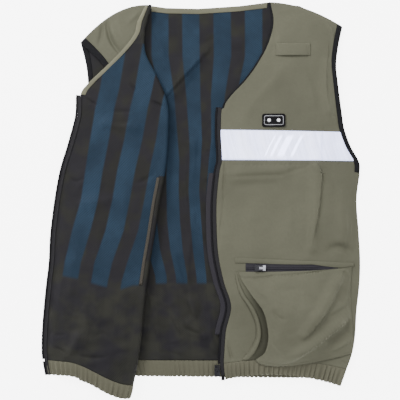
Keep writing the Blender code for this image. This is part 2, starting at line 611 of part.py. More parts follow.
def make_left_zip():
    """Zip tape, teeth and inner guard along the left front's edge, with the slider and the box."""
    half = SHELL_THICK / 2
    rows = left_rows()
    rows = np.append(rows[rows >= NECK_CORNER_ROW], [LEFT_HEM_ROW + 0.4, LEFT_HEM_ROW + 0.75])
    reach = ZIP_TAPE_REACH
    low, high = beyond_edge(left_front, rows, 0.0, (CLEAR, reach), -half, ZIP_TAPE_THICK - half)
    wall("left_zip_tape", low, high, "zip_black")

    middle = ZIP_TAPE_THICK / 2 - half
    thick = ZIP_TEETH_THICK / 2
    near, far = reach + CLEAR, reach + CLEAR + ZIP_TEETH_WIDTH
    toothed = rows[rows <= LEFT_HEM_ROW]
    low, high = beyond_edge(left_front, toothed, 0.0, (near, far), middle - thick, middle + thick)
    wall("left_zip_teeth", low, high, "zip_black")

    behind = rows[(rows >= GUARD_ROWS[0]) & (rows <= GUARD_ROWS[1])]
    face = middle - thick - CLEAR
    reaches = (-ZIP_GUARD_TUCK, 0, ZIP_GUARD_WIDTH)
    low, high = beyond_edge(left_front, behind, 0.0, reaches, face - ZIP_TAPE_THICK, face)
    wall("left_zip_guard", low, high, "zip_black")

    rows = np.array([LEFT_HEM_ROW, FRONT_SLIDER_ROW])
    beside = reach + 3 * CLEAR + SLIDER_WIDTH / 2
    low, high = beyond_edge(left_front, rows, 0.0, (beside, beside + CLEAR), middle, middle)
    end, at = ((low + high) / 2).mean(axis=1)
    at[1] = end[1] - SLIDER_LENGTH / 2 - 2 * CLEAR
    at[2] -= SLIDER_THICK / 2
    add_slider("front_zip", at, math.pi / 2)

    rows = np.array([LEFT_HEM_ROW + 0.75])
    low, high = beyond_edge(left_front, rows, 0.0, (CLEAR, reach), middle, middle)
    place = low[0].mean(axis=0)
    place[1] -= ZIP_BOX_LENGTH / 2 + 4 * CLEAR
    place[2] -= ZIP_BOX_THICK / 2
    lines = [
        np.array([-0.5, 0.5]) * ZIP_BOX_WIDTH,
        np.array([-0.5, 0.5]) * ZIP_BOX_LENGTH,
        np.array([0, 1]) * ZIP_BOX_THICK,
    ]
    add_blocks("front_zip_box", lines, {(0, 0, 0)}, place, 0, "zip_black")


def add_blocks(name, lines, filled, place, turn, slot):
    """One solid from the filled cells of a grid of boxes, turned about Z and set at a place."""
    xs, ys, zs = lines
    points, faces = {}, []
    sides = (
        ((-1, 0, 0), ((0, 0, 0), (0, 0, 1), (0, 1, 1), (0, 1, 0))),
        ((1, 0, 0), ((1, 0, 0), (1, 1, 0), (1, 1, 1), (1, 0, 1))),
        ((0, -1, 0), ((0, 0, 0), (1, 0, 0), (1, 0, 1), (0, 0, 1))),
        ((0, 1, 0), ((0, 1, 0), (0, 1, 1), (1, 1, 1), (1, 1, 0))),
        ((0, 0, -1), ((0, 0, 0), (0, 1, 0), (1, 1, 0), (1, 0, 0))),
        ((0, 0, 1), ((0, 0, 1), (1, 0, 1), (1, 1, 1), (0, 1, 1))),
    )
    for cell in sorted(filled):
        for step, corners in sides:
            if tuple(np.add(cell, step)) in filled:
                continue
            keys = [tuple(np.add(cell, corner)) for corner in corners]
            faces.append([points.setdefault(key, len(points)) for key in keys])
    turned = []
    for i, j, k in points:
        x, y = xs[i], ys[j]
        across = x * math.cos(turn) - y * math.sin(turn)
        ahead = x * math.sin(turn) + y * math.cos(turn)
        turned.append((across, ahead, zs[k]))
    made = add_object(name, turned, faces, slot)
    made.location = place
    return made


def add_slider(name, place, turn):
    """A zip slider with its bridge, and the pull tab whose bar runs under the bridge.

    The tab lies along the slider's own -X. It swings about its bar.
    """
    bridge, wall_thick = BRIDGE_LENGTH / 2, BRIDGE_WALL
    lines = [
        np.array([-SLIDER_LENGTH / 2, -bridge, wall_thick - bridge, bridge - wall_thick, bridge, SLIDER_LENGTH / 2]),
        np.array([-SLIDER_WIDTH / 2, -BRIDGE_WIDTH / 2, BRIDGE_WIDTH / 2, SLIDER_WIDTH / 2]),
        np.array([0, SLIDER_THICK, SLIDER_THICK + BRIDGE_RISE - wall_thick, SLIDER_THICK + BRIDGE_RISE]),
    ]
    body = {(i, j, 0) for i in range(5) for j in range(3)}
    arch = {(1, 1, 1), (3, 1, 1), (1, 1, 2), (2, 1, 2), (3, 1, 2)}
    add_blocks(name + "_slider", lines, body | arch, place, turn, "slider_metal")

    rail = (PULL_WIDTH - BRIDGE_WIDTH) / 2 - 2 * CLEAR
    half = PULL_WIRE / 2
    lines = [
        np.array([-PULL_LENGTH, -PULL_WINDOW - half, -half, half]),
        np.array([-PULL_WIDTH / 2, rail - PULL_WIDTH / 2, PULL_WIDTH / 2 - rail, PULL_WIDTH / 2]),
        np.array([-half, half]),
    ]
    frame = {(i, j, 0) for i in range(3) for j in range(3)} - {(1, 1, 0)}
    axis_height = SLIDER_THICK + (BRIDGE_RISE - wall_thick) / 2
    pivot = np.array(place) + np.array([0, 0, axis_height])
    add_blocks(name + "_pull", lines, frame, pivot, turn, "slider_metal")


def upper_share(distance, rows):
    """Shares across the right front at this distance past its fold, on the upper layer."""
    start = UNDER_SHARE + ARC_SHARE
    return start + trim_share(right_front, rows, distance, (start, 1.0))


def make_right_front():
    """Folded right front: shell inside the fold, lining outside it, with its trims."""
    rows = right_rows()
    trim = edge_share(right_front, rows, BINDING_WIDTH, RIGHT_ARM_END_ROW, (0.0, UNDER_SHARE))
    top = UNDER_SHARE + ARC_SHARE
    low, arc, high = RIGHT_COLUMNS
    flat = np.linspace(0, 1, low + 1)[None, :-1]
    under = trim[:, None] + (UNDER_SHARE - trim[:, None]) * flat
    over = np.concatenate(
        [np.linspace(UNDER_SHARE, top, arc + 1)[:-1], np.linspace(top, 1, high + 1)]
    )
    u = np.concatenate([under, np.broadcast_to(over, (len(rows), len(over)))], axis=1)
    v = np.repeat(rows[:, None], u.shape[1], axis=1)
    near = CLEAR / 2
    cloth("right_front_shell", right_front, u, v, near, near + SHELL_THICK, "shell_olive")
    cloth("right_front_lining", right_front, u, v, -near - LINING_THICK, -near, "lining_mesh")

    places = hem_rows(RIGHT_ROWS, RIGHT_HEM_ROW, TURNED_HEM_GAP)
    length = row_length(right_front, np.array(places[1:2]))[0]
    steps, ribs = ribbed(length)
    u, v = grid(places, 0.0, 1.0, steps)
    reach = HEM_THICK / 2
    cloth("right_front_hem", right_front, u, v, ribs - reach, reach, "shell_olive")

    arm = rows[rows <= RIGHT_ARM_END_ROW]
    reach = BINDING_THICK / 2
    u, v = grid(arm, 0.0, trim_share(right_front, arm, BINDING_WIDTH, (0.0, UNDER_SHARE)), 1)
    cloth("right_arm_binding_front", right_front, u, v, -reach, reach, "trim_black")

    face = -near - LINING_THICK - CLEAR
    neck = rows[rows <= RIGHT_CORNER_ROW]
    share = np.minimum(trim_share(right_front, neck, FACING_WIDTH, (top, 1.0)), 0.7 * (1 - top))
    u, v = grid(neck, 1 - share, 1.0, 2)
    cloth("right_neck_facing", right_front, u, v, face - FACING_THICK, face, "shell_olive")

    taped = rows[(rows >= SEAM_TAPE_ROWS[0]) & (rows <= SEAM_TAPE_ROWS[1])]
    near_fold = upper_share(SEAM_TAPE_FROM_FOLD, taped)
    far_fold = upper_share(SEAM_TAPE_FROM_FOLD + SEAM_TAPE_WIDTH, taped)
    u, v = grid(taped, near_fold, far_fold, 2)
    over = face - 2 * CLEAR
    cloth("seam_tape", right_front, u, v, over - FACING_THICK, over, "seam_brown")

    zip_rows = np.append(rows[rows > RIGHT_CORNER_ROW], [RIGHT_HEM_ROW + 0.5, len(RIGHT_ROWS) - 1])
    face = -HEM_THICK / 2 - CLEAR
    reaches = (-ZIP_TAPE_OVERLAP, 0, ZIP_TAPE_PAST)
    low, high = beyond_edge(right_front, zip_rows, 1.0, reaches, face - ZIP_TAPE_THICK, face)
    wall("right_zip_tape", low, high, "zip_black")

    middle = face - ZIP_TAPE_THICK / 2
    thick = ZIP_TEETH_THICK / 2
    near, far = ZIP_TAPE_PAST + CLEAR, ZIP_TAPE_PAST + CLEAR + ZIP_TEETH_WIDTH
    toothed = zip_rows[zip_rows <= RIGHT_HEM_ROW]
    low, high = beyond_edge(right_front, toothed, 1.0, (near, far), middle - thick, middle + thick)
    wall("right_zip_teeth", low, high, "zip_black")
    pin = np.array([RIGHT_HEM_ROW + 0.1, len(RIGHT_ROWS) - 1])
    low, high = beyond_edge(right_front, pin, 1.0, (near, far), middle - thick, middle + thick)
    wall("right_zip_pin", low, high, "zip_black")


def bag(u, v):
    """Points of the pocket bag: u goes over its gusset and on to its right side, v counts rows.

    Its top edge is nearly level at the left and rises at its right end.
    """
    row = BagRow(*np.moveaxis(smooth_rows(BAG_ROWS, v), -1, 0))
    side = np.clip(u / GUSSET_SHARE, 0, 1)
    face = np.clip((u - GUSSET_SHARE) / (1 - GUSSET_SHARE), 0, 1)
    x = row.seam_x + (row.edge_x - row.seam_x) * side + (row.right_x - row.edge_x) * face
    climb = face ** (1 + (BAG_TOP_POWER - 1) * np.clip(1 - v, 0, 1))
    y = row.left_y + (row.right_y - row.left_y) * climb - row.sag * BAG_SAG_SHAPE * np.sqrt(face) * (1 - face)
    depth = row.fullness * POCKET_DEPTH * np.sin(side * math.pi / 2) * (1 - face**BAG_FACE_POWER)
    lift = BAG_LIFT + (WELT_LIFT - BAG_LIFT) * np.clip(1 - v, 0, 1)
    flat_x, flat_y = x * CHEST_WIDTH, y * BODY_LENGTH
    folds = ridges(flat_x, flat_y, BAG_FOLDS, FOLD_HEIGHT) * np.clip(np.minimum(v, 7 - v), 0, 1)
    folds = folds * np.clip(np.minimum(face, 1 - face) / BAG_FOLD_FADE, 0, 1)
    return over_left_front(flat_x, flat_y, lift + depth + folds)


def bag_top(x):
    """How far up the vest the top edge of the pocket bag lies at x."""
    first = BAG_ROWS[0]
    share = np.clip((x / CHEST_WIDTH - first.edge_x) / (first.right_x - first.edge_x), 0, 1)
    return (first.left_y + (first.right_y - first.left_y) * share**BAG_TOP_POWER) * BODY_LENGTH


def zip_gap(x):
    """Height of the gap that shows the pocket's zip: it narrows to the right and closes there."""
    start = POCKET_ZIP_RIGHT_X - GAP_CLOSES_BEFORE
    end = POCKET_ZIP_RIGHT_X + GAP_CLOSES_PAST
    closing = np.clip((x / CHEST_WIDTH - start) / (end - start), 0, 1)
    along = np.clip((x / CHEST_WIDTH - POCKET_ZIP_LEFT_X) / (end - POCKET_ZIP_LEFT_X), 0, 1)
    return POCKET_ZIP_GAP * (1 - GAP_TAPER * along) * (1 - closing) + CLEAR * 2 * closing


def make_pocket():
    """Bellows pocket of the left front: welt, full bag, and the zip between them."""
    rows = np.linspace(0, len(BAG_ROWS) - 1, BAG_STEPS[0] + 1)
    across = np.concatenate(
        [
            np.linspace(0, GUSSET_SHARE, BAG_STEPS[1] + 1)[:-1],
            np.linspace(GUSSET_SHARE, 1, BAG_STEPS[2] + 1),
        ]
    )
    u, v = np.meshgrid(across, rows)
    cloth("pocket_bag", bag, u, v, 0, POCKET_THICK, "shell_olive")

    x = np.linspace(WELT_LEFT_X, WELT_RIGHT_X, WELT_STEPS + 1) * CHEST_WIDTH
    share = (x - x[0]) / (x[-1] - x[0])
    bottom = bag_top(x) + zip_gap(x)
    top = (WELT_TOP - WELT_RIGHT_DROP * share) * BODY_LENGTH
    t = np.linspace(0, 1, 3)[:, None]
    y = top + (bottom - top) * t
    x = np.broadcast_to(x, y.shape)
    base = over_left_front(x, y, WELT_LIFT)
    wall("pocket_welt", base, base + np.array([0, 0, POCKET_THICK]), "shell_olive")

    x = np.linspace(POCKET_ZIP_LEFT_X, POCKET_ZIP_RIGHT_X, WELT_STEPS + 1) * CHEST_WIDTH
    share = np.array([-0.5, -0.16, -0.12, 0.12, 0.16, 0.5])[:, None]
    middle = bag_top(x) + zip_gap(x) / 2
    y = middle + share * (zip_gap(x) + 2 * POCKET_ZIP_TUCK) * -1
    x = np.broadcast_to(x, y.shape)
    raised = (np.abs(share) < 0.13) * (zip_gap(x) > 0.6 * POCKET_ZIP_GAP) * ZIP_COIL_RISE
    base = over_left_front(x, y, SHELL_THICK / 2 + CLEAR)
    lift = (ZIP_TAPE_THICK + raised)[..., None] * np.array([0, 0, 1.0])
    wall("pocket_zip", base, base + lift, "zip_black")

    at_x = POCKET_SLIDER_X * CHEST_WIDTH
    at_y = np.interp(at_x, x[0], middle)
    spots_x = at_x + np.linspace(-0.5, 0.5, 5) * SLIDER_LENGTH
    ground = over_left_front(spots_x, np.full(5, at_y), 0.0)[:, 2].max()
    coil_top = SHELL_THICK / 2 + ZIP_TAPE_THICK + ZIP_COIL_RISE + 2 * CLEAR
    add_slider("pocket_zip", np.array([at_x, at_y, ground + coil_top]), 0.0)


def rounded_plate(length, width, corner, steps):
    """Grid of x and y offsets that fills a rectangle with rounded corners."""
    turn = np.linspace(0, math.pi / 2, 4)
    ends = length / 2 - corner + corner * np.sin(turn)
    middle = np.linspace(-length / 2 + corner, length / 2 - corner, steps + 1)[1:-1]
    x = np.concatenate([-ends[::-1], middle, ends])
    over = np.clip(np.abs(x) - (length / 2 - corner), 0, corner) / corner
    half = width / 2 - corner * (1 - np.sqrt(1 - over**2))
    share = np.linspace(-1, 1, 4)[:, None]
    return np.broadcast_to(x, (4, len(x))), -share * half


def closed_band(name, inner, outer, height, slot):
    """A closed ring with a rectangular section between two outlines."""
    up = np.array([0, 0, height])
    loops = np.stack([inner, outer, outer + up, inner + up], axis=1)
    count = len(inner)
    index = np.arange(count * 4).reshape(count, 4)
    faces = []
    for i in range(count):
        here, ahead = index[i], index[(i + 1) % count]
        faces += [(here[k], here[(k + 1) % 4], ahead[(k + 1) % 4], ahead[k]) for k in range(4)]
    add_object(name, loops.reshape(-1, 3), faces, slot)


def outline(length, width, corner):
    """Closed outline of a rectangle with rounded corners."""
    points = []
    turns = ((1, 1, 0), (-1, 1, 1), (-1, -1, 2), (1, -1, 3))
    for side_x, side_y, quarter in turns:
        for turn in np.linspace(0, math.pi / 2, 3):
            angle = turn + quarter * math.pi / 2
            centre_x, centre_y = side_x * (length / 2 - corner), side_y * (width / 2 - corner)
            points.append((centre_x + corner * math.cos(angle), centre_y + corner * math.sin(angle)))
    return np.array(points)


def make_chest_fittings():
    """Webbing loop and the badge: rubber plate, silver outline and two lights."""
    half = SHELL_THICK / 2
    at_x, at_y = LOOP_AT[0] * CHEST_WIDTH, LOOP_AT[1] * BODY_LENGTH
    share = np.linspace(-1, 1, 11)
    x, y = np.meshgrid(share * LOOP_LENGTH / 2, np.array([0.5, -0.5]) * LOOP_WIDTH)
    arch = LOOP_ARCH * np.clip(1 - share**4, 0, 1) * (np.abs(share) < 0.85)
    base = over_left_front(x + at_x, y + at_y, half + CLEAR + np.broadcast_to(arch, x.shape))
    wall("chest_loop", base, base + np.array([0, 0, LOOP_THICK]), "shell_olive")

    at_x, at_y = PLATE_AT[0] * CHEST_WIDTH, PLATE_AT[1] * BODY_LENGTH
    x, y = rounded_plate(PLATE_LENGTH, PLATE_WIDTH, PLATE_CORNER, 6)
    level = half + CLEAR
    base = over_left_front(x + at_x, y + at_y, level)
    wall("badge_plate", base, base + np.array([0, 0, PLATE_THICK]), "plate_rubber")

    level += PLATE_THICK + CLEAR
    size = np.array([PLATE_LENGTH, PLATE_WIDTH]) - 2 * BEZEL_INSET
    outer = outline(*size, PLATE_CORNER)
    inner = outline(*(size - 2 * BEZEL_WIDTH), PLATE_CORNER - BEZEL_WIDTH)
    rings = [over_left_front(p[:, 0] + at_x, p[:, 1] + at_y, level) for p in (inner, outer)]
    closed_band("badge_bezel", rings[0], rings[1], BEZEL_THICK, "slider_metal")

    for name, side in (("badge_light_left", -0.5), ("badge_light_right", 0.5)):
        middle_x = at_x + side * KEY_SPACING
        middle = over_left_front(np.array([middle_x]), np.array([at_y]), level)[0]
        add_dome(name, middle, KEY_RADIUS, KEY_RISE, "key_white")


def add_dome(name, place, radius, rise, slot):
    """A low round dome on a flat foot."""
    turns = np.linspace(0, 2 * math.pi, DOME_SIDES, endpoint=False)
    rings = [(1.0, 0.0), (1.0, 0.45), (0.86, 0.78), (0.5, 0.96)]
    points = [place]
    for share, height in rings:
        for turn in turns:
            step = np.array([math.cos(turn) * share * radius, math.sin(turn) * share * radius, height * rise])
            points.append(place + step)
    points.append(place + np.array([0, 0, rise]))
    faces = []
    last = len(points) - 1
    for i in range(DOME_SIDES):
        ahead = (i + 1) % DOME_SIDES
        faces.append((0, 1 + ahead, 1 + i))
        for ring in range(len(rings) - 1):
            low, high = 1 + ring * DOME_SIDES, 1 + (ring + 1) * DOME_SIDES
            faces.append((low + i, low + ahead, high + ahead, high + i))
        top = 1 + (len(rings) - 1) * DOME_SIDES
        faces.append((top + i, top + ahead, last))
    add_object(name, points, faces, slot)


def centre_on_base():
    """Moves the whole vest so that its box stands on Z = 0 with its middle on the Z axis."""
    bpy.context.view_layer.update()
    corners = []
    for found in bpy.data.objects:
        local = np.empty(len(found.data.vertices) * 3)
        found.data.vertices.foreach_get("co", local)
        corners.append(local.reshape(-1, 3) + np.array(found.location))
    points = np.concatenate(corners)
    low, high = points.min(axis=0), points.max(axis=0)
    shift = -np.array([(low[0] + high[0]) / 2, (low[1] + high[1]) / 2, low[2]])
    for found in bpy.data.objects:
        found.location = np.array(found.location) + shift


def clear_scene():
    """Removes whatever the scene holds."""
    for found in list(bpy.data.objects):
        bpy.data.objects.remove(found, do_unlink=True)


def main():
    clear_scene()
    make_back()
    make_left_front()
    make_left_zip()
    make_chest_fittings()
    make_pocket()
    make_right_front()
    centre_on_base()


main()
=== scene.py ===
"""Cooling vest laid open on its back: the detailed cloth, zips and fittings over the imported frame.

Every cloth piece is a wall of points on one of the vest's smooth surfaces, raised by its own creases
and by a soft unevenness. A surface is worked out from a short table of sections. Its sides are shares
of the vest's width and length, and its heights are shares of a named height.
"""

import math
from collections import namedtuple

import bmesh
import bpy
import numpy as np
from bpy.props import FloatProperty, FloatVectorProperty, PointerProperty
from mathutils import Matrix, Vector


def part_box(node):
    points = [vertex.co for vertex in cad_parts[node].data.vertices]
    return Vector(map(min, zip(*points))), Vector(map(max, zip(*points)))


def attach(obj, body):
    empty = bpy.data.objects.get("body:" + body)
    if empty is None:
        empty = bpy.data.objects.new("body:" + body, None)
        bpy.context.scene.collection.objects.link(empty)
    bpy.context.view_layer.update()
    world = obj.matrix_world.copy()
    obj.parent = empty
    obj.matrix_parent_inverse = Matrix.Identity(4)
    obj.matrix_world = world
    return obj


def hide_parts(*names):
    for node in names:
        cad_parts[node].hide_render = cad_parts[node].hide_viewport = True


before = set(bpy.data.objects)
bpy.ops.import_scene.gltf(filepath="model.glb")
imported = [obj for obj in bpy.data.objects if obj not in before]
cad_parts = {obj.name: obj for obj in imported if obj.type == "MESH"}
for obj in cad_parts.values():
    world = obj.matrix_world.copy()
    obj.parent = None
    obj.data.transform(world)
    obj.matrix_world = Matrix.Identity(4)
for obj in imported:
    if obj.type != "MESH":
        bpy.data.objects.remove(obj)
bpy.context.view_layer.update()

bl_info = {
    "name": "Cooling vest",
    "version": (1, 0, 0),
    "blender": (4, 5, 0),
    "location": "View3D > Sidebar > Vest",
    "description": "Builds the cloth, zips and fittings of a cooling vest that lies open on its back",
    "category": "Add Mesh",
}

UP = np.array([0, 0, 1.0])


def table(kind, *rows):
    """A table whose rows are named tuples of one kind."""
    return tuple(kind(*row) for row in rows)


# Sizes of the part, in metres
CHEST_WIDTH = 0.497
BODY_LENGTH = 0.666
SHELL_THICK = 0.0012
LINING_THICK = 0.0010
CLEAR = 0.0003
FRONT_LOFT = 0.015
LINING_RELIEF = 0.0045
FOLD_RADIUS = 0.0052
FOLD_HEIGHT = 0.0050
LOWER_RISE = 0.0085
SEAM_END_RISE = 0.0060
EDGE_REST = 0.0018
EDGE_RISE = 0.0080
EDGE_DROOP = 0.3
EDGE_FADE = 0.12
LOFT_SHARE = 0.6
FOLD_FADE = 0.15
EDGE_DROP_POWER = 4
BAG_FACE_POWER = 2.4
BAG_SAG_SHAPE = 2.6
BAG_TOP_POWER = 3
GAP_TAPER = 0.44
BAG_FOLD_FADE = 0.08
HEM_THICK = 0.0030
HEM_STEPS = 20
HEM_WANDER = 2.2
BINDING_WIDTH = 0.0090
BINDING_THICK = 0.0026
FACING_WIDTH = 0.0085
FACING_THICK = 0.0008
PIPING_WIDTH = 0.0032
PIPING_THICK = 0.0022
SEAM_TAPE_WIDTH = 0.0050
HIDDEN_GAP = 0.0012
EDGE_GAP = 0.00004
# Share by which the pocket's side is darkened towards near black in its valley: painted shade
VALLEY_SHADE = 0.6
SEAM_TAPE_FROM_FOLD = 0.0015
TAPE_HEIGHT = 0.0500
TAPE_THICK = 0.0006
ZIP_TAPE_THICK = 0.0008
ZIP_TAPE_REACH = 0.0065
ZIP_TAPE_OVERLAP = 0.0035
ZIP_TAPE_PAST = 0.0030
ZIP_TEETH_WIDTH = 0.0032
ZIP_TEETH_THICK = 0.0022
ZIP_GUARD_WIDTH = 0.0180
ZIP_GUARD_TUCK = 0.0030
ZIP_COIL_RISE = 0.0014
ZIP_GROOVE_HALF = 0.0005
POCKET_DEPTH = 0.020
POCKET_THICK = 0.0012
POCKET_ZIP_GAP = 0.0145
POCKET_ZIP_TUCK = 0.0025
LOOP_LENGTH = 0.0570
LOOP_WIDTH = 0.0205
LOOP_THICK = 0.0012
LOOP_ARCH = 0.0020
BACK_STACK = SHELL_THICK + CLEAR + LINING_THICK
SEAM_RISE = BACK_STACK + CLEAR + SHELL_THICK / 2
BAG_LIFT = SHELL_THICK / 2 + CLEAR
WELT_LIFT = BAG_LIFT + ZIP_TAPE_THICK + CLEAR

# Where the camera's picture has its middle, in shares of the vest's width and length
VIEW_CENTRE = (-0.0369, 0.5)
VIEW_WIDTH = 0.667
CAMERA_LEVEL = 0.003
FLOOR_GLOW = 6.0
FLOOR_HALF = 6.0
ROOM_LIGHT = 0.65
CLOTH_SHINE = 0.06
TAPE_SHINE = 0.18
LENS = 85.0
SENSOR = 36.0

# Square soft lights that look at the vest's middle
Light = namedtuple("Light", "name x y z size power")
LIGHTS = table(
    Light,
    ("key", -1.0, 1.4, 1.5, 0.8, 52.0),
    ("overhead", 0.1, 0.2, 2.3, 1.4, 36.0),
)

# Left front: inner is the neck and zip edge, outer the armhole and side edge
FrontRow = namedtuple("FrontRow", "inner_x inner_y outer_x outer_y inner_rise outer_rise loft bow")
LEFT_ROWS = table(
    FrontRow,
    (0.193, 0.9950, 0.440, 0.9325, 0.06, 0.16, 0.08, 0.0140),
    (0.203, 0.9450, 0.426, 0.8850, 0.28, 0.34, 0.34, 0.0080),
    (0.187, 0.8950, 0.418, 0.8350, 0.40, 0.52, 0.55, 0.0030),
    (0.157, 0.8500, 0.424, 0.7875, 0.42, 0.58, 0.68, 0.0000),
    (0.113, 0.8025, 0.431, 0.7450, 0.40, 0.60, 0.74, 0.0000),
    (0.060, 0.7600, 0.438, 0.7075, 0.38, 0.60, 0.78, 0.0000),
    (0.037, 0.7300, 0.441, 0.6900, 0.38, 0.58, 0.80, 0.0000),
    (0.033, 0.6750, 0.448, 0.6690, 0.38, 0.54, 0.80, 0.0000),
    (0.035, 0.6375, 0.467, 0.6325, 0.38, 0.42, 0.82, 0.0000),
    (0.037, 0.6000, 0.494, 0.5975, 0.38, 0.24, 0.86, 0.0000),
    (0.028, 0.5675, 0.498, 0.5700, 0.38, 0.14, 0.88, 0.0000),
    (0.019, 0.5000, 0.488, 0.5000, 0.38, 0.02, 0.88, 0.0000),
    (0.019, 0.4250, 0.495, 0.4200, 0.40, 0.02, 0.86, 0.0000),
    (0.025, 0.3600, 0.500, 0.3450, 0.42, 0.02, 0.80, 0.0000),
    (0.043, 0.2950, 0.497, 0.2850, 0.46, 0.02, 0.74, 0.0000),
    (0.067, 0.2350, 0.488, 0.2225, 0.50, 0.04, 0.66, 0.0010),
    (0.050, 0.1750, 0.483, 0.1625, 0.46, 0.08, 0.56, 0.0030),
    (0.045, 0.1250, 0.472, 0.1175, 0.46, 0.28, 0.46, 0.0090),
    (0.043, 0.0925, 0.453, 0.0775, 0.46, 0.34, 0.38, 0.0175),
    (0.048, 0.0525, 0.433, 0.0350, 0.44, 0.34, 0.34, 0.0200),
)
NECK_CORNER_ROW = 6
TAPE_TOP_ROW = 7
UNDERARM_ROW = 10
LEFT_HEM_ROW = 18

# Back: both sides from the shoulder tips down to the hem
BackRow = namedtuple("BackRow", "left_x left_y right_x right_y")
BACK_ROWS = table(
    BackRow,
    (-0.437, 0.8925, 0.440, 0.9325),
    (-0.420, 0.8400, 0.420, 0.8750),
    (-0.413, 0.7875, 0.417, 0.8150),
    (-0.420, 0.7350, 0.427, 0.7500),
    (-0.437, 0.6825, 0.440, 0.6900),
    (-0.460, 0.6350, 0.463, 0.6375),
    (-0.493, 0.5800, 0.497, 0.5800),
    (-0.493, 0.5000, 0.487, 0.5000),
    (-0.497, 0.4125, 0.492, 0.4125),
    (-0.500, 0.3250, 0.497, 0.3250),
    (-0.497, 0.2375, 0.488, 0.2375),
    (-0.490, 0.1625, 0.482, 0.1625),
    (-0.473, 0.1000, 0.460, 0.0975),
    (-0.450, 0.0600, 0.440, 0.0525),
)
BACK_ARM_END_ROW = 6
BACK_HEM_ROW = 12
YOKE_ROWS = 3.0

# Top edge of the back: shoulder slopes and the shallow neck curve between them
TopPoint = namedtuple("TopPoint", "across x y")
BACK_TOP = table(
    TopPoint,
    (0.00, -0.437, 0.8925),
    (0.09, -0.360, 0.9475),
    (0.15, -0.317, 0.9675),
    (0.22, -0.247, 0.9825),
    (0.28, -0.197, 0.9860),
    (0.34, -0.150, 0.9810),
    (0.46, -0.043, 0.9790),
    (0.60, 0.097, 0.9860),
    (0.70, 0.190, 0.9950),
    (0.82, 0.297, 0.9860),
    (0.93, 0.383, 0.9550),
    (1.00, 0.440, 0.9325),
)
NECK_FROM, NECK_TO = 0.275, 0.70

# Right front: seam is its lower, outer end, fold the turned edge, edge its upper, inner end
FoldRow = namedtuple("FoldRow", "seam_x seam_y fold_x fold_y edge_x edge_y seam_rise radius edge_rise ease")
RIGHT_ROWS = table(
    FoldRow,
    (-0.437, 0.8925, -0.200, 0.9850, -0.217, 0.9800, 0.45, 0.42, 1.55, 0.0),
    (-0.403, 0.8700, -0.213, 0.9500, -0.243, 0.9425, 0.80, 0.56, 1.85, 0.0),
    (-0.370, 0.8450, -0.223, 0.9125, -0.257, 0.9075, 1.05, 0.66, 2.05, 0.0),
    (-0.343, 0.8150, -0.220, 0.8650, -0.303, 0.8650, 1.20, 0.78, 2.15, 0.0),
    (-0.330, 0.7800, -0.193, 0.8225, -0.357, 0.8250, 1.30, 0.88, 2.05, 0.0),
    (-0.330, 0.7425, -0.160, 0.7700, -0.407, 0.7900, 1.30, 0.96, 1.75, 0.0),
    (-0.347, 0.7050, -0.143, 0.7250, -0.434, 0.7625, 1.25, 1.00, 1.35, 0.0),
    (-0.377, 0.6700, -0.143, 0.6750, -0.439, 0.7075, 1.15, 1.00, 1.40, 0.0),
    (-0.420, 0.6300, -0.147, 0.6125, -0.464, 0.6375, 0.90, 1.00, 1.30, 0.0),
    (-0.483, 0.5800, -0.157, 0.5550, -0.490, 0.5750, 0.42, 1.00, 0.95, 0.0),
    (-0.490, 0.5000, -0.173, 0.4925, -0.510, 0.5000, 0.12, 1.00, 0.35, 0.0),
    (-0.493, 0.4200, -0.190, 0.4100, -0.525, 0.4125, 0.12, 1.00, 0.10, 0.0),
    (-0.497, 0.3450, -0.207, 0.3350, -0.530, 0.3450, 0.12, 1.00, 0.00, 0.0),
    (-0.497, 0.2750, -0.220, 0.2600, -0.540, 0.2800, 0.12, 1.00, 0.00, 0.0),
    (-0.490, 0.2000, -0.230, 0.1825, -0.550, 0.2000, 0.14, 1.00, 0.00, 0.1),
    (-0.480, 0.1375, -0.240, 0.1200, -0.554, 0.1375, 0.45, 1.00, 0.00, 0.4),
    (-0.460, 0.0900, -0.260, 0.0425, -0.551, 0.1000, 0.75, 0.96, 0.02, 0.9),
    (-0.440, 0.0500, -0.273, 0.0075, -0.542, 0.0625, 0.75, 0.90, 0.04, 1.0),
)
RIGHT_CORNER_ROW = 6
RIGHT_ARM_END_ROW = 9
RIGHT_HEM_ROW = 16
UNDER_SHARE, ARC_SHARE = 0.38, 0.12
UNDER_COLUMNS = 72
HEM_TURN_FROM, HEM_TURN_TO = 0.00, 0.76
SHOULDER_BOW = 0.026
SEAM_TAPE_ROWS = (9.0, 12.6)

# Broad folds of the part: a ridge from one point to another, in shares of width and length
Fold = namedtuple("Fold", "from_x from_y to_x to_y spread lift")
LEFT_FOLDS = table(
    Fold,
    (0.350, 0.585, 0.34, 0.380, 0.016, 0.70),
    (0.395, 0.840, 0.40, 0.720, 0.014, 0.55),
    (0.060, 0.560, 0.25, 0.575, 0.020, 0.40),
    (0.085, 0.535, 0.21, 0.540, 0.016, -0.35),
    (0.115, 0.735, 0.27, 0.840, 0.030, 0.25),
    (0.450, 0.520, 0.44, 0.400, 0.022, 0.45),
)
LINING_FOLDS = table(
    Fold,
    (-0.035, 0.86, -0.125, 0.770, 0.022, 1.0),
    (-0.060, 0.64, -0.030, 0.420, 0.022, 0.9),
    (-0.010, 0.92, 0.080, 0.900, 0.030, 0.6),
    (-0.100, 0.36, -0.060, 0.230, 0.020, 0.8),
    (-0.075, 0.19, -0.020, 0.160, 0.016, 1.0),
    (-0.110, 0.12, -0.040, 0.105, 0.018, 0.8),
    (0.010, 0.70, -0.010, 0.560, 0.016, 0.5),
)
RIGHT_FOLDS = table(
    Fold,
    (-0.35, 0.69, -0.25, 0.68, 0.018, 0.7),
    (-0.42, 0.49, -0.34, 0.50, 0.020, 0.6),
    (-0.44, 0.16, -0.46, 0.13, 0.016, 0.7),
    (-0.38, 0.25, -0.35, 0.12, 0.030, 0.6),
    (-0.30, 0.26, -0.29, 0.10, 0.026, 0.5),
)
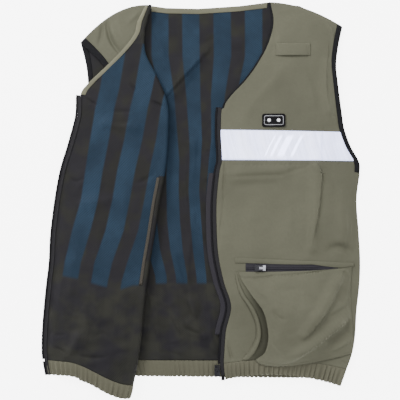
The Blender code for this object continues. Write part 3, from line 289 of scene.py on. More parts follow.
BAG_FOLDS = table(
    Fold,
    (0.425, 0.30, 0.31, 0.170, 0.018, 0.9),
    (0.430, 0.19, 0.25, 0.095, 0.022, 0.7),
    (0.300, 0.27, 0.36, 0.240, 0.020, -0.4),
)

# Pocket bag: the sewn line, the turned edge of its gusset, and its right side, each going down
BagRow = namedtuple("BagRow", "seam_x edge_x right_x left_y right_y fullness sag")
BAG_ROWS = table(
    BagRow,
    (0.080, 0.092, 0.470, 0.3215, 0.333, 0.04, 0.000),
    (0.084, 0.102, 0.470, 0.3000, 0.315, 0.30, 0.000),
    (0.097, 0.133, 0.468, 0.2650, 0.285, 0.62, 0.000),
    (0.127, 0.168, 0.468, 0.2300, 0.250, 0.86, 0.000),
    (0.147, 0.183, 0.470, 0.1950, 0.218, 1.00, 0.002),
    (0.150, 0.188, 0.475, 0.1600, 0.183, 0.98, 0.006),
    (0.128, 0.178, 0.478, 0.1250, 0.150, 0.70, 0.014),
    (0.103, 0.150, 0.473, 0.1030, 0.118, 0.16, 0.020),
)
GUSSET_SHARE = 0.28
BAG_END_ROW = 6.72
WELT_TOP = 0.3575
WELT_LEFT_X, WELT_RIGHT_X = 0.080, 0.478
WELT_RIGHT_DROP = 0.014
POCKET_ZIP_LEFT_X, POCKET_ZIP_RIGHT_X = 0.115, 0.425
GAP_CLOSES_BEFORE, GAP_CLOSES_PAST = 0.085, 0.010
LOOP_AT = (0.273, 0.8740)
GUARD_ROWS = (10.0, 16.2)
TOOTH_SHARE = 0.74

# Sections of a tooth and of the cord in the row: shares of the teeth's width and thickness
TOOTH_SECTION = ((-0.5, -0.5), (-0.5, 0.22), (-0.36, 0.5), (0.36, 0.5), (0.5, 0.22), (0.5, -0.5))
CORD_SECTION = ((-0.48, -0.18), (-0.48, 0.18), (0.48, 0.18), (0.48, -0.18))

# Section of the pocket's side, from its sewn line to its turned edge: shares of the side's width and
# of the bag's depth, and how far in metres the cloth is tucked under the front
SidePoint = namedtuple("SidePoint", "across tuck rise")
SIDE_FOLD = table(
    SidePoint,
    (0.00, 0.000, 0.00),
    (0.14, 0.000, 0.26),
    (0.34, 0.000, 0.30),
    (0.50, 0.000, 0.06),
    (0.96, 0.008, 0.00),
    (0.96, 0.011, 0.40),
    (0.95, 0.004, 0.92),
    (0.97, 0.001, 1.00),
)

# Creases of the cloth: a curve through three points in shares of width and length. Spread is its
# half width and lift its height, both in millimetres; steep narrows the flank on its right.
Crease = namedtuple("Crease", "from_x from_y by_x by_y to_x to_y spread lift steep")
LEFT_CREASES = table(
    Crease,
    (0.336, 0.385, 0.360, 0.490, 0.366, 0.560, 9.0, 3.0, 0.18),
    (0.366, 0.545, 0.364, 0.570, 0.350, 0.590, 8.0, 3.2, 0.18),
    (0.370, 0.595, 0.366, 0.635, 0.370, 0.675, 6.0, 1.6, 0.20),
    (0.396, 0.725, 0.385, 0.790, 0.390, 0.870, 9.0, 3.2, 0.18),
    (0.413, 0.700, 0.398, 0.715, 0.392, 0.750, 8.0, 2.0, 0.30),
    (0.363, 0.960, 0.392, 0.935, 0.408, 0.901, 5.0, 1.8, 0.35),
    (0.387, 0.936, 0.403, 0.920, 0.413, 0.904, 3.5, 1.4, 0.40),
    (0.242, 0.828, 0.180, 0.775, 0.113, 0.713, 11.0, 1.4, 0.50),
    (0.095, 0.800, 0.070, 0.770, 0.050, 0.720, 6.0, 0.9, 0.60),
    (0.058, 0.556, 0.150, 0.559, 0.230, 0.561, 4.5, -2.4, 0.50),
    (0.225, 0.561, 0.268, 0.570, 0.330, 0.586, 5.0, -1.3, 0.50),
    (0.058, 0.588, 0.200, 0.586, 0.430, 0.590, 3.0, -0.8, 0.60),
    (0.047, 0.598, 0.043, 0.550, 0.042, 0.500, 2.2, -3.0, 0.80),
    (0.042, 0.505, 0.033, 0.440, 0.023, 0.385, 2.2, -2.2, 0.80),
    (0.056, 0.143, 0.068, 0.105, 0.083, 0.056, 2.6, -3.4, 0.70),
    (0.440, 0.370, 0.452, 0.430, 0.435, 0.500, 12.0, 1.8, 0.40),
    (0.240, 0.375, 0.262, 0.440, 0.250, 0.510, 14.0, 1.1, 0.60),
    (0.150, 0.380, 0.128, 0.440, 0.140, 0.500, 14.0, 1.0, 0.60),
    (0.345, 0.720, 0.330, 0.780, 0.300, 0.830, 12.0, 1.2, 0.50),
    (0.395, 0.376, 0.435, 0.380, 0.478, 0.364, 7.0, -5.0, 0.80),
    (0.478, 0.362, 0.488, 0.430, 0.482, 0.495, 2.2, -0.9, 0.80),
    (0.410, 0.575, 0.435, 0.520, 0.460, 0.470, 9.0, 1.4, 0.50),
    (0.090, 0.150, 0.130, 0.115, 0.170, 0.105, 5.0, 1.0, 0.60),
    (0.400, 0.115, 0.425, 0.105, 0.445, 0.093, 4.0, -1.8, 0.60),
    (0.415, 0.105, 0.440, 0.100, 0.455, 0.095, 3.0, 1.4, 0.60),
    (0.200, 0.950, 0.212, 0.900, 0.190, 0.850, 5.0, -0.7, 0.60),
)
BAG_CREASES = table(
    Crease,
    (0.320, 0.170, 0.385, 0.235, 0.435, 0.310, 11.0, 4.2, 0.24),
    (0.250, 0.100, 0.350, 0.145, 0.460, 0.205, 10.0, 5.0, 0.28),
    (0.380, 0.140, 0.430, 0.160, 0.476, 0.195, 13.0, -5.0, 0.80),
    (0.395, 0.220, 0.430, 0.235, 0.470, 0.260, 7.0, 2.0, 0.50),
    (0.080, 0.308, 0.160, 0.307, 0.210, 0.313, 1.8, -2.0, 0.80),
    (0.190, 0.310, 0.320, 0.318, 0.425, 0.332, 2.2, -2.6, 0.80),
    (0.203, 0.225, 0.220, 0.212, 0.242, 0.205, 3.5, -1.8, 0.60),
    (0.190, 0.250, 0.220, 0.235, 0.240, 0.210, 9.0, 1.6, 0.60),
    (0.215, 0.288, 0.240, 0.275, 0.290, 0.285, 6.0, -1.4, 0.60),
    (0.135, 0.300, 0.170, 0.270, 0.215, 0.250, 10.0, 2.0, 0.45),
    (0.300, 0.300, 0.310, 0.260, 0.295, 0.220, 12.0, 1.2, 0.60),
    (0.190, 0.185, 0.205, 0.150, 0.245, 0.120, 7.0, 1.8, 0.50),
    (0.215, 0.175, 0.240, 0.140, 0.290, 0.115, 8.0, 1.2, 0.50),
    (0.465, 0.310, 0.460, 0.260, 0.460, 0.225, 3.0, -1.4, 0.60),
    (0.445, 0.325, 0.456, 0.315, 0.460, 0.300, 4.0, 1.6, 0.50),
    (0.400, 0.125, 0.430, 0.135, 0.465, 0.150, 4.0, 1.6, 0.50),
)
LINING_CREASES = table(
    Crease,
    (-0.150, 0.902, -0.095, 0.898, -0.035, 0.887, 3.5, -2.2, 0.60),
    (-0.045, 0.887, -0.010, 0.896, 0.020, 0.910, 3.5, -1.8, 0.60),
    (-0.045, 0.857, -0.010, 0.860, 0.022, 0.858, 3.4, -2.4, 0.60),
    (0.070, 0.865, 0.095, 0.861, 0.125, 0.854, 3.4, -2.4, 0.60),
    (0.070, 0.820, 0.100, 0.815, 0.130, 0.835, 4.0, -1.8, 0.60),
    (-0.185, 0.730, -0.096, 0.803, -0.010, 0.870, 13.0, 5.0, 0.09),
    (-0.200, 0.935, -0.170, 0.890, -0.160, 0.830, 7.0, 1.8, 0.50),
    (-0.075, 0.470, -0.085, 0.530, -0.080, 0.610, 6.0, 2.2, 0.35),
    (-0.050, 0.520, -0.048, 0.570, -0.040, 0.650, 4.0, -2.2, 0.60),
    (-0.055, 0.530, -0.045, 0.430, -0.025, 0.320, 4.0, -2.6, 0.50),
    (-0.080, 0.290, -0.070, 0.380, -0.060, 0.460, 8.0, 2.0, 0.40),
    (-0.010, 0.320, -0.006, 0.500, -0.014, 0.650, 6.0, 1.8, 0.50),
    (0.010, 0.470, 0.015, 0.550, 0.025, 0.650, 4.0, -1.6, 0.50),
    (-0.138, 0.460, -0.120, 0.445, -0.090, 0.445, 3.0, -1.8, 0.60),
    (-0.135, 0.415, -0.110, 0.412, -0.085, 0.416, 3.0, -1.6, 0.60),
    (-0.150, 0.390, -0.125, 0.350, -0.105, 0.310, 3.5, -2.2, 0.60),
    (-0.134, 0.213, -0.115, 0.185, -0.101, 0.165, 5.0, 2.8, 0.30),
    (-0.087, 0.177, -0.060, 0.169, -0.037, 0.165, 3.5, -3.0, 0.60),
    (-0.174, 0.116, -0.110, 0.109, -0.040, 0.085, 4.5, -2.6, 0.50),
    (-0.225, 0.277, -0.200, 0.240, -0.190, 0.200, 5.0, 1.8, 0.50),
    (-0.205, 0.200, -0.180, 0.170, -0.170, 0.130, 4.5, 1.8, 0.50),
    (-0.190, 0.250, -0.150, 0.235, -0.120, 0.245, 4.5, 1.5, 0.50),
    (-0.160, 0.160, -0.130, 0.145, -0.100, 0.150, 4.5, 1.5, 0.50),
    (-0.080, 0.250, -0.060, 0.220, -0.050, 0.190, 5.0, 2.0, 0.50),
    (-0.020, 0.260, -0.010, 0.200, 0.010, 0.120, 6.0, 2.0, 0.50),
)
RIGHT_CREASES = table(
    Crease,
    (-0.415, 0.753, -0.398, 0.742, -0.378, 0.735, 2.6, -2.4, 0.6),
    (-0.268, 0.787, -0.258, 0.778, -0.250, 0.769, 2.4, -2.2, 0.6),
    (-0.325, 0.719, -0.295, 0.717, -0.265, 0.719, 4.5, -2.0, 0.6),
    (-0.330, 0.693, -0.300, 0.690, -0.275, 0.693, 4.5, -2.4, 0.6),
    (-0.197, 0.744, -0.175, 0.736, -0.152, 0.728, 2.2, -3.4, 0.5),
    (-0.472, 0.552, -0.450, 0.546, -0.424, 0.552, 3.8, -2.2, 0.6),
    (-0.240, 0.542, -0.215, 0.550, -0.190, 0.565, 4.5, -2.0, 0.6),
    (-0.520, 0.165, -0.505, 0.163, -0.485, 0.165, 3.0, -1.8, 0.6),
    (-0.520, 0.130, -0.500, 0.126, -0.483, 0.117, 3.0, -2.0, 0.6),
    (-0.435, 0.113, -0.390, 0.108, -0.345, 0.113, 3.8, -2.2, 0.6),
    (-0.515, 0.480, -0.505, 0.560, -0.500, 0.620, 9.0, 1.4, 0.5),
    (-0.400, 0.450, -0.375, 0.550, -0.360, 0.620, 14.0, 1.4, 0.6),
    (-0.300, 0.450, -0.280, 0.570, -0.260, 0.640, 14.0, 1.3, 0.6),
    (-0.425, 0.130, -0.410, 0.190, -0.420, 0.260, 9.0, 1.6, 0.5),
    (-0.300, 0.100, -0.320, 0.190, -0.330, 0.260, 9.0, 1.6, 0.5),
    (-0.470, 0.230, -0.450, 0.220, -0.430, 0.230, 4.0, -1.4, 0.6),
    (-0.380, 0.160, -0.360, 0.170, -0.340, 0.160, 4.0, -1.4, 0.6),
)
UNDER_CREASES = table(
    Crease,
    (-0.362, 0.960, -0.368, 0.915, -0.376, 0.889, 4.0, -4.5, 0.5),
    (-0.349, 0.955, -0.340, 0.905, -0.302, 0.863, 4.5, -5.5, 0.5),
    (-0.330, 0.930, -0.318, 0.905, -0.295, 0.880, 8.0, 3.0, 0.5),
    (-0.276, 0.940, -0.260, 0.952, -0.242, 0.965, 5.0, 2.0, 0.5),
    (-0.310, 0.960, -0.300, 0.920, -0.270, 0.890, 7.0, 1.6, 0.5),
)

# Soft waves of each cloth: two wavelengths in metres, the share of the second one and of the rumples
# below the stripes, and the seed that their directions are drawn from
Waves = namedtuple("Waves", "long short share rumple seed")
BACK_WAVES = Waves(0.050, 0.018, 0.40, 0.9, 21)
LEFT_WAVES = Waves(0.060, 0.022, 0.35, 0.0, 41)
RIGHT_WAVES = Waves(0.050, 0.018, 0.35, 0.8, 51)
BAG_WAVES = Waves(0.045, 0.018, 0.40, 0.0, 61)
RUMPLE_WAVE = 0.024

# Blue stripes of the lining: where the first one runs at each height and how far apart they stand
StripeRow = namedtuple("StripeRow", "y first_x second_x third_x fourth_x")
BACK_STRIPES = table(
    StripeRow,
    (0.980, -0.171, -0.069, 0.037, 0.143),
    (0.860, -0.171, -0.067, 0.039, 0.143),
    (0.760, -0.148, -0.058, 0.022, 0.110),
    (0.650, -0.135, -0.049, 0.020, 0.090),
    (0.600, -0.128, -0.050, 0.009, 0.075),
    (0.525, -0.129, -0.055, 0.000, 0.060),
    (0.450, -0.126, -0.048, 0.006, 0.066),
    (0.375, -0.116, -0.040, 0.014, 0.074),
    (0.310, -0.099, -0.030, 0.020, 0.080),
    (0.050, -0.080, -0.010, 0.040, 0.100),
)
RIGHT_STRIPES = table(
    StripeRow,
    (0.980, -0.290, -0.175, -0.060, 0.055),
    (0.775, -0.337, -0.220, -0.128, -0.030),
    (0.725, -0.353, -0.237, -0.140, -0.043),
    (0.650, -0.370, -0.256, -0.154, -0.050),
    (0.575, -0.388, -0.281, -0.174, -0.070),
    (0.500, -0.403, -0.299, -0.192, -0.090),
    (0.425, -0.431, -0.319, -0.212, -0.110),
    (0.345, -0.460, -0.359, -0.247, -0.145),
    (0.300, -0.470, -0.370, -0.268, -0.160),
    (0.050, -0.520, -0.420, -0.320, -0.210),
)
StripeEnd = namedtuple("StripeEnd", "x y")
STRIPE_ENDS = table(
    StripeEnd,
    (-0.540, 0.3180),
    (-0.494, 0.3117),
    (-0.441, 0.3055),
    (-0.402, 0.2960),
    (-0.344, 0.2850),
    (-0.299, 0.2800),
    (-0.259, 0.2900),
    (-0.138, 0.2925),
    (0.100, 0.2925),
)
BLUE_SHARE = 0.55
NO_STRIPE = -0.5
WEAVE_PITCH = 0.0005
TWILL_PITCH = 0.0009
MESH_PITCH = 0.0026
MESH_ROW_SHARE = 0.7
RIGHT_STRIPES_TOP = 0.885
# Painted highlights of the reflective band: how far the glints lean, and the middle and half width of each
# diagonal glint
GLINT_LEAN = 0.75
GLINTS = ((0.006, 0.0035), (0.021, 0.008), (0.040, 0.0035), (-0.004, 0.0018))
TAPE_SEAM_FROM_MIDDLE = 0.097
# Painted glow of the reflective band: an emission that stands in for the light its beads send back
TAPE_GLOW = (0.50, 0.56, 1.0, 1.0)
TAPE_GLOW_STRENGTH = 6.5


def smooth_rows(rows, at):
    """Values of every column at the places in at, on a cubic curve through the table's rows."""
    table = np.array(rows, float)
    at = np.clip(np.asarray(at, float), 0, len(table) - 1)
    low = np.minimum(at.astype(int), len(table) - 2)
    slopes = np.gradient(table, axis=0)
    t = (at - low)[..., None]
    a, b = table[low], table[low + 1]
    da, db = slopes[low], slopes[low + 1]
    rise = (1 + 2 * t) * (1 - t) ** 2 * a + t**2 * (3 - 2 * t) * b
    return rise + t * (1 - t) ** 2 * da + t**2 * (t - 1) * db


def ridges(x, y, folds, height):
    """Heights of broad folds: a bell across each ridge's line that dies out past its ends."""
    total = np.zeros_like(x)
    for fold in folds:
        start = np.array([fold.from_x * CHEST_WIDTH, fold.from_y * BODY_LENGTH])
        end = np.array([fold.to_x * CHEST_WIDTH, fold.to_y * BODY_LENGTH])
        along = end - start
        length = np.hypot(*along)
        share = ((x - start[0]) * along[0] + (y - start[1]) * along[1]) / length**2
        away = ((x - start[0]) * along[1] - (y - start[1]) * along[0]) / length
        past = np.maximum(np.abs(share - 0.5) - 0.5, 0) * length
        reach = fold.spread * CHEST_WIDTH
        total += fold.lift * height * np.exp(-((away**2 + past**2) / reach**2))
    return total


def creases(x, y, table, strength=1.0):
    """Heights of fine creases: a bell round each curve, with one flank steeper than the other.

    The curve is a parabola through three points. Its nearest point gives the distance and the side.
    """
    total = np.zeros_like(x)
    t = np.linspace(0, 1, 25)
    for crease in table:
        a = np.array([crease.from_x * CHEST_WIDTH, crease.from_y * BODY_LENGTH])
        b = np.array([crease.by_x * CHEST_WIDTH, crease.by_y * BODY_LENGTH])
        c = np.array([crease.to_x * CHEST_WIDTH, crease.to_y * BODY_LENGTH])
        middle = 2 * b - (a + c) / 2
        curve = np.outer((1 - t) ** 2, a) + np.outer(2 * t * (1 - t), middle) + np.outer(t**2, c)
        reach = 4 * crease.spread * 1e-3
        low, high = curve.min(0) - reach, curve.max(0) + reach
        near = (x > low[0]) & (x < high[0]) & (y > low[1]) & (y < high[1])
        if not near.any():
            continue
        dx = x[near][:, None] - curve[:, 0]
        dy = y[near][:, None] - curve[:, 1]
        away = np.hypot(dx, dy)
        nearest = away.argmin(1)
        pick = (np.arange(len(nearest)), nearest)
        along = np.gradient(curve, axis=0)[nearest]
        side = np.sign(dx[pick] * along[:, 1] - dy[pick] * along[:, 0])
        spread = crease.spread * 1e-3 * np.where(side > 0, crease.steep, 1.0)
        fade = np.sin(np.pi * np.clip(0.08 + 0.84 * t[nearest], 0, 1)) ** 0.7
        total[near] += crease.lift * 1e-3 * strength * fade * np.exp(-((away[pick] / spread) ** 2))
    return total


def ripple(x, y, wave, seed, count=20):
    """Soft random unevenness from -1 to 1: a sum of sine waves whose directions are drawn once."""
    draw = np.random.default_rng(seed)
    turn = draw.uniform(0, 2 * math.pi, count)
    size = 2 * math.pi / (wave * draw.uniform(0.7, 1.6, count))
    phase = draw.uniform(0, 2 * math.pi, count)
    total = np.zeros_like(x)
    for k in range(count):
        total += np.sin((x * math.cos(turn[k]) + y * math.sin(turn[k])) * size[k] + phase[k])
    return total / math.sqrt(2 * count)


def smooth_step(value, low, high):
    """0 below low, 1 above high, with an S curve between them."""
    t = np.clip((value - low) / (high - low), 0, 1)
    return t * t * (3 - 2 * t)


def crown(u):
    """A full, rounded bump over a share from 0 to 1, zero at both ends."""
    return 1 - np.abs(2 * u - 1) ** 2.2


def left_front(u, v):
    """Points of the left front: u goes from its zip edge to its side, v counts the table's rows."""
    row = FrontRow(*np.moveaxis(smooth_rows(LEFT_ROWS, v), -1, 0))
    x = ((1 - u) * row.inner_x + u * row.outer_x) * CHEST_WIDTH
    y = ((1 - u) * row.inner_y + u * row.outer_y + row.bow * 4 * u * (1 - u)) * BODY_LENGTH
    rise = (1 - u) * row.inner_rise + u * row.outer_rise + row.loft * crown(u) * LOFT_SHARE
    edges = np.clip(np.minimum(u, 1 - u) / EDGE_FADE, 0, 1)
    folds = ridges(x, y, LEFT_FOLDS, FOLD_HEIGHT) * edges
    return np.stack([x, y, SEAM_RISE + rise * FRONT_LOFT + folds], axis=-1)


def back(u, v):
    """Points of the back's lower face: u goes from its left to its right side, v counts the rows."""
    row = BackRow(*np.moveaxis(smooth_rows(BACK_ROWS, v), -1, 0))
    x = (1 - u) * row.left_x + u * row.right_x
    y = (1 - u) * row.left_y + u * row.right_y
    top = np.array(BACK_TOP, float)
    fade = np.clip(1 - v / YOKE_ROWS, 0, 1) ** 2
    first = BACK_ROWS[0]
    x = x + fade * (np.interp(u, top[:, 0], top[:, 1]) - (1 - u) * first.left_x - u * first.right_x)
    y = y + fade * (np.interp(u, top[:, 0], top[:, 2]) - (1 - u) * first.left_y - u * first.right_y)
    return np.stack([x * CHEST_WIDTH, y * BODY_LENGTH, np.zeros_like(x)], axis=-1)


def back_lining(u, v):
    """Points of the back lining: the back, lifted by the lining's own folds."""
    points = back(u, v)
    inside = np.clip(np.minimum(v, BACK_HEM_ROW - v), 0, 1)
    points[..., 2] += ridges(points[..., 0], points[..., 1], LINING_FOLDS, LINING_RELIEF) * inside
    return points


def right_front(u, v):
    """Points of the folded right front: along the under layer, round the fold, then back on top."""
    row = FoldRow(*np.moveaxis(smooth_rows(RIGHT_ROWS, v), -1, 0))
    radius = row.radius * FOLD_RADIUS
    turn_x = row.fold_x * CHEST_WIDTH - radius
    seam_x, edge_x = row.seam_x * CHEST_WIDTH, row.edge_x * CHEST_WIDTH
    low = np.clip(u / UNDER_SHARE, 0, 1)
    arc = np.clip((u - UNDER_SHARE) / ARC_SHARE, 0, 1)
    high = np.clip((u - UNDER_SHARE - ARC_SHARE) / (1 - UNDER_SHARE - ARC_SHARE), 0, 1)
    angle = math.pi * arc
    x = seam_x + (turn_x - seam_x) * low + (edge_x - turn_x) * high + radius * np.sin(angle)
    t = np.clip((high - HEM_TURN_FROM) / (HEM_TURN_TO - HEM_TURN_FROM), 0, 1)
    drop = high + row.ease * (t * t * (3 - 2 * t) - high)
    bow = SHOULDER_BOW * 4 * low * (1 - low) * np.clip(1 - v / YOKE_ROWS, 0, 1) ** 2
    y = row.seam_y + (row.fold_y - row.seam_y) * low + bow + (row.edge_y - row.fold_y) * drop
    seam_z = SEAM_RISE + row.seam_rise * SEAM_END_RISE
    low_z = SEAM_RISE + LOWER_RISE
    edge_z = EDGE_REST + row.edge_rise * EDGE_RISE
    z = seam_z + (low_z - seam_z) * np.sin(low * math.pi / 2) + radius * (1 - np.cos(angle))
    z = z + (edge_z - low_z - 2 * radius) * high**EDGE_DROP_POWER
    y = y * BODY_LENGTH
    on_top = np.clip(np.minimum(high, 1 - high) / FOLD_FADE, 0, 1)
    z = z + ridges(x, y, RIGHT_FOLDS, FOLD_HEIGHT) * on_top
    return np.stack([x, y, z], axis=-1)


def place_on_left_front(x, y):
    """The shares u and rows v at which the left front passes over points x, y."""
    u, v = np.full_like(x, 0.5), np.full_like(x, 12.0)
    for _ in range(40):
        row = FrontRow(*np.moveaxis(smooth_rows(LEFT_ROWS, v), -1, 0))
        width = (row.outer_x - row.inner_x) * CHEST_WIDTH
        u = np.clip((x - row.inner_x * CHEST_WIDTH) / width, 0, 1)
        here = left_front(u, v)[..., 1]
        below = left_front(u, v + 0.01)[..., 1]
        v = np.clip(v + 0.7 * (y - here) / ((below - here) / 0.01), 0, len(LEFT_ROWS) - 1)
    return u, v


def over_left_front(x, y, offset):
    """Points at x, y lifted by offset above the middle of the left front's cloth."""
    u, v = place_on_left_front(x, y)
    return np.stack([x, y, left_front(u, v)[..., 2] + offset], axis=-1)


def bag(u, v):
    """Points of the pocket bag: u goes over its side and on to its right edge, v counts rows.

    The side's section is tucked in under the front and comes up round the turned edge. Across the
    front the depth falls off with a power of the share, and at the bottom as a quarter circle.
    """
    row = BagRow(*np.moveaxis(smooth_rows(BAG_ROWS, np.minimum(v, len(BAG_ROWS) - 1)), -1, 0))
    side = np.clip(u / GUSSET_SHARE, 0, 1)
    face = np.clip((u - GUSSET_SHARE) / (1 - GUSSET_SHARE), 0, 1)
    across, tuck, rise = np.moveaxis(smooth_rows(SIDE_FOLD, side * (len(SIDE_FOLD) - 1)), -1, 0)
    ending = np.clip((v - BAG_END_ROW) / (len(BAG_ROWS) - 1 - BAG_END_ROW), 0, 1)
    held = BagRow(*np.moveaxis(smooth_rows(BAG_ROWS, np.minimum(v, BAG_END_ROW)), -1, 0))
    fullness = held.fullness * np.sqrt(np.maximum(1 - ending**2, 0))
    x = row.seam_x + (row.edge_x - row.seam_x) * across + (row.right_x - row.edge_x) * face
    climb = face ** (1 + (BAG_TOP_POWER - 1) * np.clip(1 - v, 0, 1))
    y = row.left_y + (row.right_y - row.left_y) * climb - row.sag * BAG_SAG_SHAPE * np.sqrt(face) * (1 - face)
    depth = fullness * POCKET_DEPTH * rise * (1 - face**BAG_FACE_POWER)
    lift = BAG_LIFT + (WELT_LIFT - BAG_LIFT) * np.clip(1 - v, 0, 1)
    tucked = tuck * np.clip(fullness * 1.4, 0, 1) * (1 - face) ** 3
    flat_x, flat_y = x * CHEST_WIDTH + tucked, y * BODY_LENGTH
    folds = ridges(flat_x, flat_y, BAG_FOLDS, FOLD_HEIGHT)
    folds = folds * np.clip(np.minimum(v, len(BAG_ROWS) - 1 - v), 0, 1)
    folds = folds * np.clip(np.minimum(face, 1 - face) / BAG_FOLD_FADE, 0, 1)
    return over_left_front(flat_x, flat_y, lift + depth + folds)


def bag_top(x):
    """How far up the vest the top edge of the pocket bag lies at x."""
    first = BAG_ROWS[0]
    share = np.clip((x / CHEST_WIDTH - first.edge_x) / (first.right_x - first.edge_x), 0, 1)
    return (first.left_y + (first.right_y - first.left_y) * share**BAG_TOP_POWER) * BODY_LENGTH


def zip_gap(x):
    """Height of the gap that shows the pocket's zip: it narrows to the right and closes there."""
    start = POCKET_ZIP_RIGHT_X - GAP_CLOSES_BEFORE
    end = POCKET_ZIP_RIGHT_X + GAP_CLOSES_PAST
    closing = np.clip((x / CHEST_WIDTH - start) / (end - start), 0, 1)
    along = np.clip((x / CHEST_WIDTH - POCKET_ZIP_LEFT_X) / (end - POCKET_ZIP_LEFT_X), 0, 1)
    return POCKET_ZIP_GAP * (1 - GAP_TAPER * along) * (1 - closing) + CLEAR * 2 * closing


def normals_of(surface, u, v):
    """Unit normals of a surface, from small steps both ways along it."""
    step = 1e-3
    du = surface(u + step, v) - surface(u - step, v)
    dv = surface(u, v + step) - surface(u, v - step)
    normal = np.cross(dv, du)
    return normal / np.maximum(np.linalg.norm(normal, axis=-1, keepdims=True), 1e-12)


def row_length(surface, v, ends=(0.0, 1.0)):
    """Length of the surface's rows between two shares across, measured along the cloth."""
    v = np.asarray(v, float)
    u = np.linspace(*ends, 33)
    points = surface(*np.broadcast_arrays(u, v[..., None]))
    return np.linalg.norm(np.diff(points, axis=-2), axis=-1).sum(-1)


def trim_share(surface, rows, width, ends=(0.0, 1.0)):
    """Share of each row under a trim of this width."""
    return width / row_length(surface, rows, ends) * (ends[1] - ends[0])


def edge_share(surface, rows, width, end_row, ends=(0.0, 1.0)):
    """Share of each row that a trim of this width takes, down to the row where the trim ends."""
    share = trim_share(surface, rows, width + EDGE_GAP, ends)
    return np.where(np.asarray(rows) <= end_row + 1e-9, share, 0)


def grid(rows, from_share, to_share, steps):
    """Shares across and rows down of a grid whose sides are given for each row."""
    v = np.repeat(np.asarray(rows, float)[:, None], steps + 1, axis=1)
    t = np.linspace(0, 1, steps + 1)[None, :]
    start = np.broadcast_to(np.asarray(from_share, float), (len(rows),))[:, None]
    end = np.broadcast_to(np.asarray(to_share, float), (len(rows),))[:, None]
    return start + (end - start) * t, v


def beyond_edge(surface, rows, share, reaches):
    """Points and normals of a strip along a surface's edge, with a column at each reach past it."""
    u = np.full(len(rows), float(share))
    inward = 0.02 if share < 0.5 else -0.02
    at = surface(u, rows)
    out = at - surface(u + inward, rows)
    out /= np.linalg.norm(out, axis=-1, keepdims=True)
    level = out * np.array([1, 1, EDGE_DROOP])
    normal = normals_of(surface, u, rows)
    along = np.stack([at + (out if reach < 0 else level) * reach for reach in reaches], axis=1)
    return along, np.broadcast_to(normal[:, None], along.shape)


def tape_bottom_row():
    """The row of the left front that lies one tape height under the tape's top."""
    rows = np.linspace(TAPE_TOP_ROW, LEFT_HEM_ROW, 400)
    height = left_front(np.zeros_like(rows), rows)[:, 1]
    return float(np.interp(TAPE_HEIGHT, height[0] - height, rows))


def part_shift():
    """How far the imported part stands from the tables' own zero, which is the collar line's."""
    rows = np.linspace(0, BACK_HEM_ROW, 2 * BACK_HEM_ROW + 1)
    low_x = back(np.zeros_like(rows), rows)[:, 0].min()
    low_y = BACK_ROWS[-1].right_y * BODY_LENGTH
    return np.array([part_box("back_shell")[0].x - low_x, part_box("back_hem")[0].y - low_y, 0.0])


SHIFT = part_shift()


def cloth_lengths(points):
    """Distances along the cloth from its middle column and its top row, as two arrays."""
    across = np.linalg.norm(np.diff(points, axis=1), axis=-1)
    down = np.linalg.norm(np.diff(points, axis=0), axis=-1)
    s = np.concatenate([np.zeros((len(points), 1)), np.cumsum(across, axis=1)], axis=1)
    t = np.concatenate([np.zeros((1, points.shape[1])), np.cumsum(down, axis=0)], axis=0)
    middle = points.shape[1] // 2
    return s - s[:, middle : middle + 1], np.repeat(t[:, middle : middle + 1], points.shape[1], axis=1)


def stripe_number(x, y, table):
    """Stripe count at each point: whole at the middle of each blue stripe, half between them."""
    rows = np.array(table, float)[::-1]
    share_x, share_y = x / CHEST_WIDTH, y / BODY_LENGTH
    knots = [np.interp(share_y, rows[:, 0], rows[:, k]) for k in range(1, 5)]
    number = (share_x - knots[0]) / (knots[1] - knots[0])
    for k in (1, 2):
        wide = (share_x - knots[k]) / (knots[k + 1] - knots[k])
        number = np.where(share_x > knots[k], k + wide, number)
    return number


def stripes_below(x, y):
    """How far each point lies below the line where the blue stripes end, in metres."""
    ends = np.array(STRIPE_ENDS, float)
    return np.interp(x / CHEST_WIDTH, ends[:, 0], ends[:, 1]) * BODY_LENGTH - y


def make_object(name, points, faces, finish, maps=(), smooth=True, turn_out=True):
    """An object at the origin whose mesh has these points, faces and UV maps, facing outwards."""
    mesh = bpy.data.meshes.new(name)
    mesh.from_pydata(points.tolist(), [], faces if isinstance(faces, list) else faces.tolist())
    corners = np.empty(len(mesh.loops), np.int32)
    mesh.loops.foreach_get("vertex_index", corners)
    for label, values in maps:
        layer = mesh.uv_layers.new(name=label)
        layer.data.foreach_set("uv", np.ascontiguousarray(values[corners], np.float32).ravel())
    if turn_out:
        work = bmesh.new()
        work.from_mesh(mesh)
        bmesh.ops.recalc_face_normals(work, faces=work.faces)
        work.to_mesh(mesh)
        work.free()
    if smooth:
        mesh.shade_smooth()
    mesh.materials.append(finish)
    made = bpy.data.objects.new(name, mesh)
    bpy.context.scene.collection.objects.link(made)
    return made


def wall_faces(rows, columns):
    """Quads of a closed wall: its lower and upper grids and the rim that joins them."""
    index = np.arange(rows * columns).reshape(rows, columns)
    a, b = index[:-1, :-1].ravel(), index[:-1, 1:].ravel()
    c, d = index[1:, 1:].ravel(), index[1:, :-1].ravel()
    shift = rows * columns
    rim = np.concatenate([index[0, :-1], index[:-1, -1], index[-1, :0:-1], index[:0:-1, 0]])
    ahead = np.roll(rim, -1)
    lower = np.stack([a, b, c, d], 1)
    upper = np.stack([a, d, c, b], 1) + shift
    sides = np.stack([ahead, rim, rim + shift, ahead + shift], 1)
    return np.concatenate([lower, upper, sides])


def make_wall(name, under, over, finish, pattern=None):
    """A closed wall of cloth between two grids of points, with its lengths in a UV map."""
    rows, columns = under.shape[:2]
    points = np.concatenate([under.reshape(-1, 3), over.reshape(-1, 3)]) + SHIFT
    lengths = np.stack(cloth_lengths(over), axis=-1).reshape(-1, 2)
    maps = [("Cloth", np.concatenate([lengths, lengths]))]
    if pattern is not None:
        flat = pattern.reshape(-1, 2)
        maps.append(("Pattern", np.concatenate([flat, flat])))
    return make_object(name, points, wall_faces(rows, columns), finish, maps)


